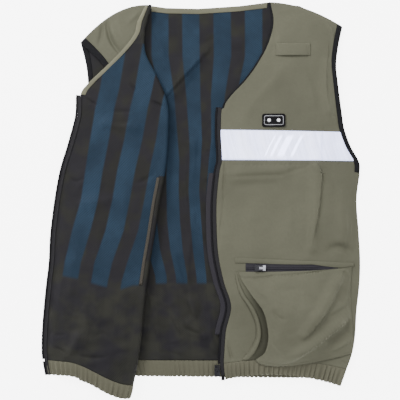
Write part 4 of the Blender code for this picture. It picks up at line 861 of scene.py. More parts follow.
def belong(piece, slot, node):
    """Makes the piece ride on the vest and stand for its node, whose own part is hidden. The slot is not
    used.
    """
    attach(piece, "vest")
    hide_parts(node)
    return piece


def cut(surface_points):
    """Works out the size the cloth was cut to, from its rows and columns before they creased, and keeps none
    of it.
    """
    across = np.linalg.norm(np.diff(surface_points, axis=1), axis=-1).sum(1)
    down = np.linalg.norm(np.diff(surface_points, axis=0), axis=-1).sum(0)
    du = np.diff(surface_points, axis=1)[:-1]
    dv = np.diff(surface_points, axis=0)[:, :-1]
    area = float(np.linalg.norm(np.cross(du, dv), axis=-1).sum())
    width, length = float(across.max()), float(down.max())
    area = min(max(area, 0.31 * width * length), width * length)


class Wire:
    """One output socket of a material, so that expressions on it add Math nodes."""

    def __init__(self, graph, socket):
        self.graph = graph
        self.socket = socket

    def band(self, low, high):
        """0 below low, 1 above high, with an S curve between them."""
        settings = {"interpolation_type": "SMOOTHSTEP"}
        inputs = {"Value": self, "From Min": low, "From Max": high}
        return self.graph.add("ShaderNodeMapRange", settings, inputs)


def math_method(operation, turned=False):
    """A method that adds one Math node; its two inputs are exchanged where it is turned."""

    def apply(self, *other):
        return self.graph.math(operation, *((*other, self) if turned else (self, *other)))

    return apply


WIRE_METHODS = {
    "__add__": ("ADD",),
    "__sub__": ("SUBTRACT",),
    "__rsub__": ("SUBTRACT", True),
    "__mul__": ("MULTIPLY",),
    "__truediv__": ("DIVIDE",),
    "__pow__": ("POWER",),
    "__abs__": ("ABSOLUTE",),
    "sine": ("SINE",),
    "fraction": ("FRACT",),
    "floor": ("FLOOR",),
}
for method, operation in WIRE_METHODS.items():
    setattr(Wire, method, math_method(*operation))


class Finish:
    """A material under construction: nodes, colour mixes and the sockets of its surface shader."""

    def __init__(self, name):
        self.material = bpy.data.materials.new(name)
        self.material.use_nodes = True
        self.tree = self.material.node_tree
        self.shader = self.tree.nodes["Principled BSDF"]

    def add(self, kind, settings=None, inputs=None, output=0):
        """Adds a node: its settings first, then the values or links of its sockets."""
        node = self.tree.nodes.new(kind)
        for key, value in (settings or {}).items():
            setattr(node, key, value)
        for key, value in (inputs or {}).items():
            self.plug(node.inputs[key], value)
        return Wire(self, node.outputs[output])

    def plug(self, socket, value):
        """Links a wire to a socket, or sets the socket's constant."""
        if isinstance(value, Wire):
            self.tree.links.new(value.socket, socket)
        else:
            socket.default_value = value

    def math(self, operation, *values):
        return self.add("ShaderNodeMath", {"operation": operation}, dict(enumerate(values)))

    def mix(self, factor, first, second):
        """A colour between two colours."""
        return self.add("ShaderNodeMix", {"data_type": "RGBA"}, {0: factor, 6: first, 7: second}, 2)

    def uv(self, label="Cloth"):
        """The two coordinates of a UV map."""
        place = self.add("ShaderNodeUVMap", {"uv_map": label})
        split = self.add("ShaderNodeSeparateXYZ", None, {0: place})
        return Wire(self, split.socket.node.outputs[0]), Wire(self, split.socket.node.outputs[1])

    def noise(self, scale, detail=3.0, roughness=0.5, vector=None):
        """Smooth noise of a size per metre, in object coordinates or along a vector."""
        place = vector or self.add("ShaderNodeTexCoord", None, None, 3)
        inputs = {"Vector": place, "Scale": scale, "Detail": detail, "Roughness": roughness}
        return self.add("ShaderNodeTexNoise", None, inputs)

    def stretched(self, across, down):
        """The cloth's lengths, times a number across it and another down it."""
        place = self.add("ShaderNodeUVMap", {"uv_map": "Cloth"})
        return self.add("ShaderNodeVectorMath", {"operation": "MULTIPLY"}, {0: place, 1: (across, down, 1.0)})

    def bump(self, height, strength, distance, below=None):
        inputs = {"Height": height, "Strength": strength, "Distance": distance}
        if below is not None:
            inputs["Normal"] = below
        return self.add("ShaderNodeBump", None, inputs)

    def surface(self, **sockets):
        """Sets sockets of the surface shader by name, with spaces written as underscores."""
        for key, value in sockets.items():
            self.plug(self.shader.inputs[key.replace("_", " ")], value)
        return self.material


def linear(red, green, blue):
    """A colour of the picture, in 0 to 255, as the linear values that shaders take."""
    parts = np.array([red, green, blue]) / 255
    parts = np.where(parts <= 0.04045, parts / 12.92, ((parts + 0.055) / 1.055) ** 2.4)
    return (*[float(p) for p in parts], 1.0)


def dimmed(colour, share):
    """A colour made darker or lighter by a share."""
    return (*[min(1.0, c * share) for c in colour[:3]], 1.0)


def shell_material(name, colour, painted_shade=False):
    """Matt olive cloth: plain weave, faint slubs and soft patches of lighter and darker tone.

    The weave's height is the product of two sines, one along each set of threads. With painted_shade set, the
    Pattern map darkens the cloth towards near black: painted shade in the valley of the pocket's side.
    """
    f = Finish(name)
    u, v = f.uv()
    threads = (u * (math.pi / WEAVE_PITCH)).sine() * (v * (math.pi / WEAVE_PITCH)).sine()
    patches = f.noise(9.0, 2.0)
    grain = f.noise(220.0, 3.0, 0.6)
    tone = f.mix(patches.band(0.30, 0.72), dimmed(colour, 0.90), dimmed(colour, 1.07))
    tone = f.mix(grain.band(0.25, 0.75) * 0.16, tone, dimmed(colour, 0.70))
    # Painted shade: the valley of the pocket's side is darkened by the Pattern map
    if painted_shade:
        shade = f.uv("Pattern")[0]
        tone = f.mix(shade * VALLEY_SHADE, tone, dimmed(colour, 0.12))
    soft = f.bump(f.noise(55.0, 4.0, 0.55), 0.35, 0.0012)
    normal = f.bump(threads, 0.12, 0.00012, soft)
    rough = grain * 0.12 + 0.72
    return f.surface(Base_Color=tone, Roughness=rough, Specular_IOR_Level=CLOTH_SHINE, Normal=normal)


def mesh_material(name, settings):
    """Spacer mesh lining: blue stripes on charcoal that end on a line, with rows of small holes."""
    f = Finish(name)
    number, below = f.uv("Pattern")
    u, v = f.uv("Cloth")
    away = abs((number + 0.5).fraction() - 0.5)
    edge = BLUE_SHARE / 2
    blue = 1 - away.band(edge - 0.03, edge + 0.03)
    stripes = 1 - below.band(-0.003, 0.004)
    soft = f.noise(14.0, 3.0)
    tint = f.noise(31.0, 1.0)
    dark = linear(*settings.charcoal)
    warm = f.mix(tint.band(0.4, 0.65), dark, linear(*settings.olive_black))
    deep = f.mix(soft.band(0.3, 0.7) * 0.5, warm, dimmed(dark, 0.72))
    bright = linear(*settings.blue)
    cool = f.mix(soft.band(0.3, 0.7), dimmed(bright, 0.80), dimmed(bright, 1.32))
    lower = f.mix(f.noise(26.0, 2.0).band(0.40, 0.66), deep, dimmed(linear(*settings.olive_black), 1.15))
    tone = f.mix(blue * stripes, f.mix(stripes, lower, deep), cool)
    across = u / MESH_PITCH
    down = v / (MESH_PITCH * MESH_ROW_SHARE)
    shifted = across + (down.floor() * 0.5).fraction()
    holes_x = abs(shifted.fraction() - 0.5)
    holes_y = abs(down.fraction() - 0.5)
    reach = (holes_x * holes_x + holes_y * holes_y * MESH_ROW_SHARE**2) ** 0.5
    hole = 1 - reach.band(0.16, 0.30)
    tone = f.mix(hole * (blue * 0.35 + 0.45), tone, dimmed(dark, 0.35))
    threads = (1 - hole) * blue * stripes
    tone = f.mix(threads * 0.10, tone, dimmed(bright, 2.6))
    normal = f.bump(reach, 0.5, 0.0004, f.bump(f.noise(90.0, 3.0), 0.35, 0.0010))
    return f.surface(Base_Color=tone, Roughness=0.7, Specular_IOR_Level=CLOTH_SHINE, Normal=normal)


def knit_material(name, colour, pitch=0.0011, rough=0.8):
    """Knitted or ribbed trim: fine ribs across its length over a soft fuzz."""
    f = Finish(name)
    v = f.uv()[1]
    ribs = (v * (2 * math.pi / pitch)).sine()
    fuzz = f.noise(600.0, 3.0, 0.6)
    base = linear(*colour)
    tone = f.mix(fuzz.band(0.3, 0.8), dimmed(base, 0.8), dimmed(base, 1.5))
    tone = f.mix(ribs.band(-0.2, 1.0) * 0.25, tone, dimmed(base, 1.8))
    normal = f.bump(ribs, 0.35, 0.00025, f.bump(fuzz, 0.2, 0.0003))
    return f.surface(Base_Color=tone, Roughness=rough, Specular_IOR_Level=CLOTH_SHINE, Normal=normal)


def tape_material(name, colour):
    """Silver reflective band: glass beads, fine streaks across it, painted white glints for its highlights, a
    painted glow and a stitched rim.
    """
    f = Finish(name)
    u, v = f.uv()
    base = linear(*colour)
    streaks = f.noise(1.0, 3.0, 0.55, f.stretched(190.0, 9.0))
    bands = f.noise(1.0, 2.0, 0.5, f.stretched(36.0, 4.0))
    tone = f.mix(streaks.band(0.35, 0.68), dimmed(base, 0.80), base)
    tone = f.mix(bands.band(0.45, 0.62) * 0.5, tone, (1, 1, 1, 1))
    # Painted highlights: diagonal white glints across the middle of the band
    lean = u + v * GLINT_LEAN
    glint = 0.0
    for middle, half in GLINTS:
        glint = (1 - abs(lean - middle).band(half * 0.35, half)) + glint
    glint = (glint + 0).band(0.0, 1.0) * (1 - abs(v - TAPE_HEIGHT * 0.52).band(0.013, 0.022))
    tone = f.mix(glint, tone, (1, 1, 1, 1))
    inside = v.band(0.0012, 0.0018) * (1 - v.band(TAPE_HEIGHT - 0.0024, TAPE_HEIGHT - 0.0018))
    sewn = abs(u + TAPE_SEAM_FROM_MIDDLE).band(0.0002, 0.0008)
    tone = f.mix(inside * (sewn * 0.3 + 0.7), dimmed(base, 0.72), tone)
    beads = f.add("ShaderNodeTexVoronoi", None, {"Vector": f.stretched(1.0, 1.0), "Scale": 1400.0})
    normal = f.bump(beads, 0.08, 0.0002, f.bump(bands, 0.3, 0.002))
    # Painted light: the band glows in its streaks and glints, though it is no lamp
    glow = f.mix(glint * 0.4 + streaks * 0.3 + 0.2, (0, 0, 0, 1), TAPE_GLOW)
    return f.surface(
        Base_Color=tone, Roughness=streaks * 0.15 + 0.3, Metallic=0.1, Normal=normal,
        Emission_Color=glow, Emission_Strength=TAPE_GLOW_STRENGTH,
    )


def twill_material(name, colour):
    """Zip tape: fine diagonal twill."""
    f = Finish(name)
    u, v = f.uv()
    lines = ((u + v) * (2 * math.pi / TWILL_PITCH)).sine()
    fuzz = f.noise(300.0, 2.0)
    base = linear(*colour)
    tone = f.mix(lines.band(-0.5, 1.0) * 0.5, dimmed(base, 0.8), dimmed(base, 1.5))
    normal = f.bump(lines, 0.3, 0.0002, f.bump(fuzz, 0.2, 0.0003))
    return f.surface(Base_Color=tone, Roughness=0.62, Specular_IOR_Level=TAPE_SHINE, Normal=normal)


def solid_material(name, colour, rough, metal=0.0, grain=0.1, coat=0.0, shine=0.3):
    """Moulded or cast piece: faint mottling in its colour, its polish and its surface."""
    f = Finish(name)
    base = linear(*colour)
    cloud = f.noise(120.0, 3.0)
    fine = f.noise(900.0, 2.0)
    tone = f.mix(cloud.band(0.3, 0.75), dimmed(base, 1 - grain), dimmed(base, 1 + grain))
    normal = f.bump(fine, 0.08, 0.0002)
    return f.surface(
        Base_Color=tone, Roughness=fine * 0.12 + (rough - 0.06), Metallic=metal, Coat_Weight=coat,
        Specular_IOR_Level=shine, Normal=normal,
    )


def floor_material(name, colour):
    """Plain pale ground with the faintest unevenness."""
    f = Finish(name)
    base = linear(*colour)
    tone = f.mix(f.noise(3.0, 2.0) * 0.04, base, dimmed(base, 0.97))
    return f.surface(Base_Color=tone, Roughness=0.9, Emission_Color=tone, Emission_Strength=FLOOR_GLOW)


FINISHES = {}


def finish(name):
    """The finish of this name, made once from the panel's colours."""
    if name in FINISHES:
        return FINISHES[name]
    settings = bpy.context.scene.vest_colours
    makers = {
        "shell": lambda: shell_material("shell_olive", linear(*settings.shell)),
        # The pocket's copy of the shell cloth, with painted shade in the valley of its side
        "pocket": lambda: shell_material("pocket_olive_painted_shade", linear(*settings.shell), painted_shade=True),
        # The facings are the shell cloth turned in; their lighter colour is painted light on the neck strips
        "facing": lambda: shell_material("facing_olive_painted_light", linear(*settings.facing)),
        "hem": lambda: shell_material("hem_olive", linear(*settings.hem)),
        "lining": lambda: mesh_material("lining_mesh", settings),
        "binding": lambda: knit_material("binding_black", settings.binding),
        "seam": lambda: knit_material("seam_brown", settings.seam, 0.0016),
        "silver": lambda: tape_material("reflective_silver", settings.silver),
        "zip": lambda: twill_material("zip_tape_black", settings.zip),
        "guard": lambda: twill_material("zip_flap_black", settings.guard),
        "teeth": lambda: solid_material("zip_teeth_black", settings.teeth, 0.6, shine=CLOTH_SHINE),
        "rubber": lambda: solid_material("plate_rubber", settings.rubber, 0.6, shine=CLOTH_SHINE),
        "outline": lambda: solid_material("bezel_silver", settings.outline, 0.45, 0.3, 0.2),
        "metal": lambda: solid_material("slider_metal", settings.metal, 0.30, 1.0, 0.15),
        "gunmetal": lambda: solid_material("slider_gunmetal", settings.gunmetal, 0.35, 0.8, 0.3),
        "lamp": lambda: solid_material("key_white", settings.lamp, 0.25, 0.0, 0.02, 0.5),
        "floor": lambda: floor_material("floor_pale", settings.floor),
    }
    FINISHES[name] = makers[name]()
    return FINISHES[name]


def colour_property(label, words, default):
    """A colour of the picture as three numbers from 0 to 255."""
    return FloatVectorProperty(name=label, description=words, default=default, size=3, min=0, max=255)


def length_property(label, words, default, low, high):
    """A length in metres, with its limits."""
    return FloatProperty(name=label, description=words, default=default, min=low, max=high, unit="LENGTH")


class VestSizes(bpy.types.PropertyGroup):
    """Sizes of the cloth's detail."""

    unevenness: length_property("Unevenness", "Height of the cloth's soft waves", 0.0007, 0, 0.003)
    crease_strength: FloatProperty(
        name="Creases", description="Strength of every crease", default=1.0, min=0, max=2, subtype="FACTOR"
    )
    rib_pitch: length_property("Rib pitch", "Distance between the gathers of a hem", 0.0078, 0.003, 0.02)
    rib_height: length_property("Rib height", "Height of a hem's gathers", 0.0022, 0, 0.003)
    tooth_pitch: length_property(
        "Tooth pitch", "Distance between two teeth of the front zip", 0.0024, 0.001, 0.01
    )


class VestColours(bpy.types.PropertyGroup):
    """Colours of the finishes."""

    shell: colour_property("Shell", "Outer cloth", (88, 88, 75))
    # Lighter than the shell, though it is the same cloth turned in: painted light on the neck strips
    facing: colour_property("Facing", "Strips inside the neck", (102, 101, 85))
    hem: colour_property("Hem", "Gathered bands", (88, 87, 74))
    charcoal: colour_property("Charcoal", "Ground of the lining", (39, 38, 41))
    olive_black: colour_property("Olive black", "Lining under the stripes", (43, 43, 39))
    blue: colour_property("Blue", "Stripes of the lining", (33, 47, 61))
    binding: colour_property("Binding", "Armhole and neck trim", (26, 26, 28))
    seam: colour_property("Seam tape", "Tape beside the fold", (60, 57, 52))
    silver: colour_property("Silver", "Reflective band", (236, 239, 250))
    zip: colour_property("Zip tape", "Tape of both zips", (30, 29, 32))
    guard: colour_property("Zip flap", "Band behind the front zip", (40, 38, 44))
    teeth: colour_property("Teeth", "Teeth of both zips", (26, 25, 28))
    rubber: colour_property("Rubber", "Plate of the badge", (16, 16, 18))
    outline: colour_property("Outline", "Line round the badge's lights", (118, 118, 122))
    metal: colour_property("Metal", "Slider of the pocket", (120, 120, 126))
    gunmetal: colour_property("Gunmetal", "Pulls, and the slider of the front zip", (36, 36, 39))
    lamp: colour_property("Lights", "Lights of the badge", (250, 251, 255))
    floor: colour_property("Floor", "Ground under the vest", (250, 250, 250))


def sizes():
    return bpy.context.scene.vest_sizes


def inside(place, end, reach):
    """0 at both ends of a span from 0 to end, and 1 where both are further off than the reach."""
    return smooth_step(np.minimum(place, end - place), 0, reach)


def uneven(points, table_of_creases, waves):
    """How far creases and soft waves raise a cloth. A lining is rumpled more below its stripes."""
    x, y = points[..., 0], points[..., 1]
    soft = ripple(x, y, waves.long, waves.seed) + waves.share * ripple(x, y, waves.short, waves.seed + 1)
    if waves.rumple:
        below = smooth_step(stripes_below(x, y), -0.01, 0.03)
        soft = soft + waves.rumple * below * ripple(x, y, RUMPLE_WAVE, waves.seed + 2)
    return creases(x, y, table_of_creases, sizes().crease_strength) + soft * sizes().unevenness


def with_normals(surface, u, v):
    """Points of a surface and its normals there."""
    return surface(u, v), normals_of(surface, u, v)


def sew(name, node, points, normal, low, high, finish_name, slot="shell_olive", pattern=None):
    """A wall of cloth from low to high along the normals of its points, in the place of a node."""
    wall = make_wall(name, points + normal * low, points + normal * high, finish(finish_name), pattern)
    return belong(wall, slot, node)


def tube_faces(count, sides):
    """Faces of a closed tube through rings of points, with flat ends."""
    index = np.arange(count * sides).reshape(count, sides)
    ahead = np.roll(index, -1, axis=1)
    around = np.stack([index[:-1].ravel(), ahead[:-1].ravel(), ahead[1:].ravel(), index[1:].ravel()], 1)
    return [*around.tolist(), index[0, ::-1].tolist(), index[-1].tolist()]


def bind(name, node, surface, rows, from_share, to_share, low, high, columns=10, power=2.6):
    """A black trim along an edge: a closed, rounded section carried down the surface's rows.

    The section is a superellipse, the trim's width across the cloth and from low to high along its
    normal. The UV map holds the lengths round it and down it.
    """
    turn = np.linspace(0, 2 * math.pi, 2 * columns, endpoint=False)
    along = np.sign(np.cos(turn)) * np.abs(np.cos(turn)) ** (2 / power)
    rise = np.sign(np.sin(turn)) * np.abs(np.sin(turn)) ** (2 / power)
    start = np.broadcast_to(np.asarray(from_share, float), (len(rows),))[:, None]
    end = np.broadcast_to(np.asarray(to_share, float), (len(rows),))[:, None]
    u = (start + end) / 2 + (end - start) / 2 * along[None, :]
    v = np.repeat(np.asarray(rows, float)[:, None], len(turn), axis=1)
    points, normal = with_normals(surface, u, v)
    lift = (low + high) / 2 + (high - low) / 2 * rise[None, :]
    rings = points + normal * lift[..., None]
    steps = np.linalg.norm(np.diff(rings.mean(axis=1), axis=0), axis=-1)
    t = np.concatenate([[0], np.cumsum(steps)])
    s = np.cumsum(np.linalg.norm(rings - np.roll(rings, 1, axis=1), axis=-1), axis=1)
    lengths = np.stack([s, np.repeat(t[:, None], len(turn), axis=1)], axis=-1).reshape(-1, 2)
    faces = tube_faces(len(rows), len(turn))
    tube = make_object(name, rings.reshape(-1, 3) + SHIFT, faces, finish("binding"), [("Cloth", lengths)])
    return belong(tube, "trim_black", node)


def add_hem(name, node, surface, sections, hem_row, columns, seed, side=1.0, low=None):
    """A gathered band: a puffed wall whose folds run down it, deeper towards its lower edge.

    Each fold is one wave of a sine whose phase wanders, so that no two are the same width. The lower
    edge follows the folds. The rows go from just below the cloth above it to the bottom edge.
    """
    fall = (sections[hem_row][1] - sections[-1][1]) * BODY_LENGTH / (len(sections) - 1 - hem_row)
    rows = np.linspace(hem_row + EDGE_GAP / fall, len(sections) - 1, HEM_STEPS + 1)
    draw = np.random.default_rng(seed)
    length = row_length(surface, np.array([rows[len(rows) // 2]]))[0]
    u = np.linspace(0, 1, columns)
    wander = np.cumsum(draw.normal(0, 1, columns))
    wander -= np.linspace(wander[0], wander[-1], columns)
    turns = length / sizes().rib_pitch
    phase = 2 * math.pi * turns * u + wander / max(1e-9, np.abs(wander).max()) * HEM_WANDER
    height = 0.65 + 0.35 * np.interp(u, np.linspace(0, 1, 40), draw.uniform(-1, 1, 40))
    fold = (np.sin(phase) * height)[None, :]
    across = np.linspace(0, 1, len(rows))[:, None]
    puff = (1 - np.abs(2 * across - 1) ** 3.5) ** 0.6
    u, v = np.meshgrid(u, rows)
    v = v - 0.06 * (rows[-1] - rows[0]) * (across > 0.5) * (fold < 0) * across * np.abs(fold)
    points, normal = with_normals(surface, u, v)
    pleat = sizes().rib_height * fold * (0.35 + 0.65 * across) * puff**0.5
    if low is None:
        half = HEM_THICK / 2 * (0.35 + 0.65 * puff)
        base, top = np.maximum(pleat, 0) * 0.3 - half, half + pleat
    else:
        base = np.full_like(pleat, low)
        top = low + HEM_THICK * (0.45 + 0.55 * puff) + np.minimum(pleat, 0)
    return sew(name, node, points, normal, (side * base)[..., None], (side * top)[..., None], "hem")


def fine_rows(first, last, steps, *keep):
    """Evenly spaced row places with the ones in keep set exactly."""
    rows = np.linspace(first, last, steps + 1)
    for place in keep:
        rows[np.argmin(np.abs(rows - place))] = place
    return rows


class VestOperator(bpy.types.Operator):
    """Shared settings of the vest's operators."""

    bl_options = {"REGISTER", "UNDO"}


class VEST_OT_back(VestOperator):
    """Back shell, lining, hem band, neck facing and armhole bindings"""

    bl_idname = "vest.back"
    bl_label = "Back"

    def execute(self, context):
        rows = fine_rows(0, BACK_HEM_ROW, 210, BACK_ARM_END_ROW)
        bound = edge_share(back, rows, BINDING_WIDTH, BACK_ARM_END_ROW)
        under = back(*grid(rows[::3], bound[::3], 1 - bound[::3], 60))
        shell = sew("back_shell_cloth", "back_shell", under, UP, 0, SHELL_THICK, "shell")

        u, v = grid(rows, bound, 1 - bound, 210)
        smooth = back_lining(u, v)
        x, y, z = np.moveaxis(smooth, -1, 0)
        edges = inside(np.linspace(0, 1, u.shape[1]), 1, 0.05) * inside(v, BACK_HEM_ROW, 0.5)
        lift = uneven(smooth, LINING_CREASES, BACK_WAVES) * edges
        lift = np.maximum(lift, -(z + LINING_RELIEF * 0.25))
        lift = SHELL_THICK + CLEAR + np.maximum(lift, -0.9 * z)
        number = np.maximum(stripe_number(x, y, BACK_STRIPES), NO_STRIPE - 1)
        pattern = np.stack([number, stripes_below(x, y)], axis=-1)
        points = smooth + UP * lift[..., None]
        lining = sew(
            "back_lining_cloth", "back_lining", points, UP, 0, LINING_THICK, "lining", "lining_mesh", pattern
        )
        hem = add_hem("back_hem_band", "back_hem", back, BACK_ROWS, BACK_HEM_ROW, 420, 31, low=0.0)

        depth = row_length(lambda across, down: back(down, across), np.array([0.5]))[0]
        facing = back_lining(*grid(np.linspace(CLEAR, FACING_WIDTH, 7) / depth, NECK_FROM, NECK_TO, 110))
        facing = facing + UP * (BACK_STACK + CLEAR)
        puff = FACING_THICK * (0.55 + 0.45 * np.sin(np.linspace(0, math.pi, 7)))[:, None, None]
        strip = sew("back_neck_strip", "back_neck_facing", facing, UP, 0, puff, "facing")

        arm = rows[rows <= BACK_ARM_END_ROW + 1e-9]
        share = trim_share(back, arm, BINDING_WIDTH)
        right = bind("right_arm_edge_back", "right_arm_binding_back", back, arm, 0.0, share, 0.0, BACK_STACK)
        left = bind("left_arm_edge_back", "left_arm_binding_back", back, arm, 1 - share, 1.0, 0.0, BACK_STACK)
        cut(under)
        cut(smooth)
        return {"FINISHED"}


class VEST_OT_left_front(VestOperator):
    """Left front shell, hem, neck piping, armhole binding and reflective tape"""

    bl_idname = "vest.left_front"
    bl_label = "Left front"

    def execute(self, context):
        half = SHELL_THICK / 2
        tape_end = tape_bottom_row()
        rows = fine_rows(0, LEFT_HEM_ROW, 290, NECK_CORNER_ROW, TAPE_TOP_ROW, tape_end, UNDERARM_ROW)
        inner = edge_share(left_front, rows, PIPING_WIDTH, NECK_CORNER_ROW)
        outer = 1 - edge_share(left_front, rows, BINDING_WIDTH, UNDERARM_ROW)
        u, v = grid(rows, inner, outer, 160)
        smooth, normal = with_normals(left_front, u, v)
        edges = inside(np.linspace(0, 1, len(u)), 1, 0.03)[:, None]
        edges = edges * inside(np.linspace(0, 1, u.shape[1]), 1, 0.03)
        points = smooth + normal * (uneven(smooth, LEFT_CREASES, LEFT_WAVES) * edges)[..., None]
        shell = sew("left_front_cloth", "left_front_shell", points, normal, -half, half, "shell")

        taped = (rows >= TAPE_TOP_ROW - 1e-9) & (rows <= tape_end + 1e-9)
        points, normal, low = points[taped], normal[taped], half + CLEAR
        sides = (points, normal, low, low + TAPE_THICK)
        tape = sew("reflective_band", "reflective_tape", *sides, "silver", "reflective_silver")
        hem = add_hem("left_front_band", "left_front_hem", left_front, LEFT_ROWS, LEFT_HEM_ROW, 300, 42)

        neck = rows[rows <= NECK_CORNER_ROW + 1e-9]
        reach = PIPING_THICK / 2
        edge = (left_front, neck, 0.0, trim_share(left_front, neck, PIPING_WIDTH))
        piping = bind("left_neck_cord", "left_neck_piping", *edge, -reach, reach, 6, 2.0)
        arm = rows[rows <= UNDERARM_ROW + 1e-9]
        reach = BINDING_THICK / 2
        edge = (left_front, arm, 1 - trim_share(left_front, arm, BINDING_WIDTH), 1.0)
        binding = bind("left_arm_edge_front", "left_arm_binding_front", *edge, -reach, reach)
        cut(smooth)
        return {"FINISHED"}


class VEST_OT_right_front(VestOperator):
    """Folded right front: shell inside the fold, lining outside it, and its trims"""

    bl_idname = "vest.right_front"
    bl_label = "Right front"

    def execute(self, context):
        rows = fine_rows(0, RIGHT_HEM_ROW, 280, RIGHT_CORNER_ROW, RIGHT_ARM_END_ROW, SEAM_TAPE_ROWS[1])
        bound = edge_share(right_front, rows, BINDING_WIDTH, RIGHT_ARM_END_ROW, (0.0, UNDER_SHARE))[:, None]
        top = UNDER_SHARE + ARC_SHARE
        under = bound + (UNDER_SHARE - bound) * np.linspace(0, 1, UNDER_COLUMNS + 1)[None, :-1]
        over = np.concatenate([np.linspace(UNDER_SHARE, top, 17)[:-1], np.linspace(top, 1, 121)])
        u = np.concatenate([under, np.broadcast_to(over, (len(rows), len(over)))], axis=1)
        v = np.repeat(rows[:, None], u.shape[1], axis=1)
        smooth, normal = with_normals(right_front, u, v)
        x, y = smooth[..., 0], smooth[..., 1]
        high = np.clip((u - top) / (1 - top), 0, 1)
        on_top = smooth_step(high, 0.0, 0.06) * smooth_step(1 - high, 0, 0.05) * inside(v, RIGHT_HEM_ROW, 0.4)
        below_fold = smooth_step(UNDER_SHARE - u, 0, 0.05) * smooth_step(u - bound, 0, 0.03)
        below_fold = below_fold * smooth_step(v, 0, 0.4)
        lift = creases(x, y, UNDER_CREASES, sizes().crease_strength) * below_fold
        lift = lift - uneven(smooth, RIGHT_CREASES, RIGHT_WAVES) * on_top
        points = smooth + normal * lift[..., None]

        # Each layer takes fewer columns where it is hidden, and keeps away from the other one there
        turn, last = UNDER_COLUMNS, u.shape[1]
        at = np.ix_(np.arange(0, len(rows), 2), np.unique(np.r_[0:turn, turn:last:3, last - 1]))
        inner = (CLEAR / 2 + HIDDEN_GAP * smooth_step(u, top, top + 0.05)[..., None])[at]
        sides = (points[at], normal[at], inner, inner + SHELL_THICK)
        shell = sew("right_front_cloth", "right_front_shell", *sides, "shell")
        shell_smooth = smooth[at]
        away = SEAM_TAPE_FROM_FOLD + SEAM_TAPE_WIDTH / 2
        seam = top + trim_share(right_front, rows, away, (top, 1.0))[:, None]
        taped = smooth_step(v, SEAM_TAPE_ROWS[0] - 0.1, SEAM_TAPE_ROWS[0])
        beside_fold = smooth_step(seam - u, -0.002, 0.002) * taped
        above = smooth_step(y / BODY_LENGTH, RIGHT_STRIPES_TOP, RIGHT_STRIPES_TOP + 0.004)
        plain = np.maximum(above, beside_fold) * BODY_LENGTH
        number = np.maximum(stripe_number(x, y, RIGHT_STRIPES), NO_STRIPE)
        pattern = np.stack([number, stripes_below(x, y) + plain], axis=-1)
        at = np.ix_(np.arange(len(rows)), np.r_[0:turn:3, turn:last])
        outer = -(CLEAR / 2 + HIDDEN_GAP * smooth_step(UNDER_SHARE - u, 0.0, 0.05)[..., None])[at]
        sides = (points[at], normal[at], outer - LINING_THICK, outer)
        names = ("right_lining_cloth", "right_front_lining")
        lining = sew(*names, *sides, "lining", "lining_mesh", pattern[at])
        hem = add_hem(
            "right_front_band", "right_front_hem", right_front, RIGHT_ROWS, RIGHT_HEM_ROW, 420, 54, side=-1.0
        )

        arm = rows[rows <= RIGHT_ARM_END_ROW + 1e-9]
        reach = BINDING_THICK / 2
        edge = (right_front, arm, 0.0, trim_share(right_front, arm, BINDING_WIDTH, (0.0, UNDER_SHARE)))
        binding = bind("right_arm_edge_front", "right_arm_binding_front", *edge, -reach, reach)

        face = -CLEAR / 2 - LINING_THICK - CLEAR
        neck = rows[rows <= RIGHT_CORNER_ROW + 1e-9]
        share = np.minimum(trim_share(right_front, neck, FACING_WIDTH, (top, 1.0)), 0.7 * (1 - top))
        strip = with_normals(right_front, *grid(neck, 1 - share, 1.0, 8))
        puff = FACING_THICK * (0.5 + 0.5 * np.sin(np.linspace(0, math.pi, 9)))[None, :, None]
        strip = sew("right_neck_strip", "right_neck_facing", *strip, face - puff, face, "facing")

        taped = rows[(rows >= SEAM_TAPE_ROWS[0]) & (rows <= SEAM_TAPE_ROWS[1] + 1e-9)]
        near_fold, far_fold = (
            top + trim_share(right_front, taped, SEAM_TAPE_FROM_FOLD + width, (top, 1.0))
            for width in (0, SEAM_TAPE_WIDTH)
        )
        tape = with_normals(right_front, *grid(taped, near_fold, far_fold, 8))
        level = face - 2 * CLEAR
        tape = sew("seam_strip", "seam_tape", *tape, level - puff, level, "seam", "seam_brown")
        cut(shell_smooth)
        cut(smooth[at])
        return {"FINISHED"}


def add_teeth(name, node, surface, rows, share, tape_reach, lift):
    """Teeth past a zip tape's edge, set at one pitch, each turned to the path, its side and its normal.

    A tooth is a block with its upper edges cut off. The cord that carries them is a flat bar, run
    through all their middles.
    """
    centre = tape_reach + CLEAR + ZIP_TEETH_WIDTH / 2
    points, normal = beyond_edge(surface, rows, share, (centre - 0.001, centre))
    path = points[:, 1] + normal[:, 1] * lift
    reach = np.concatenate([[0], np.cumsum(np.linalg.norm(np.diff(path, axis=0), axis=-1))])
    count = int(reach[-1] / sizes().tooth_pitch)
    at = (np.arange(count) + 0.5) * reach[-1] / count
    centre, side, up = (
        np.stack([np.interp(at, reach, values[:, k]) for k in range(3)], axis=1)
        for values in (path, points[:, 1] - points[:, 0], normal[:, 1])
    )
    side /= np.linalg.norm(side, axis=1, keepdims=True)
    up /= np.linalg.norm(up, axis=1, keepdims=True)
    ahead = np.cross(up, side)

    def placed(section, forward=0.0):
        wide, tall = (np.array(section) * (ZIP_TEETH_WIDTH, ZIP_TEETH_THICK)).T[:, None, :, None]
        return centre[:, None] + side[:, None] * wide + ahead[:, None] * forward + up[:, None] * tall

    half = sizes().tooth_pitch * TOOTH_SHARE / 2
    teeth = np.concatenate([placed(TOOTH_SECTION, -half), placed(TOOTH_SECTION, half)], axis=1)
    size = teeth.shape[1]
    faces = [[i + k * size for i in face] for k in range(count) for face in tube_faces(2, len(TOOTH_SECTION))]
    faces += [[i + count * size for i in face] for face in tube_faces(count, len(CORD_SECTION))]
    points = np.concatenate([teeth.reshape(-1, 3), placed(CORD_SECTION).reshape(-1, 3)])
    row = make_object(name, points + SHIFT, faces, finish("teeth"), smooth=False)
    return belong(row, "zip_black", node)


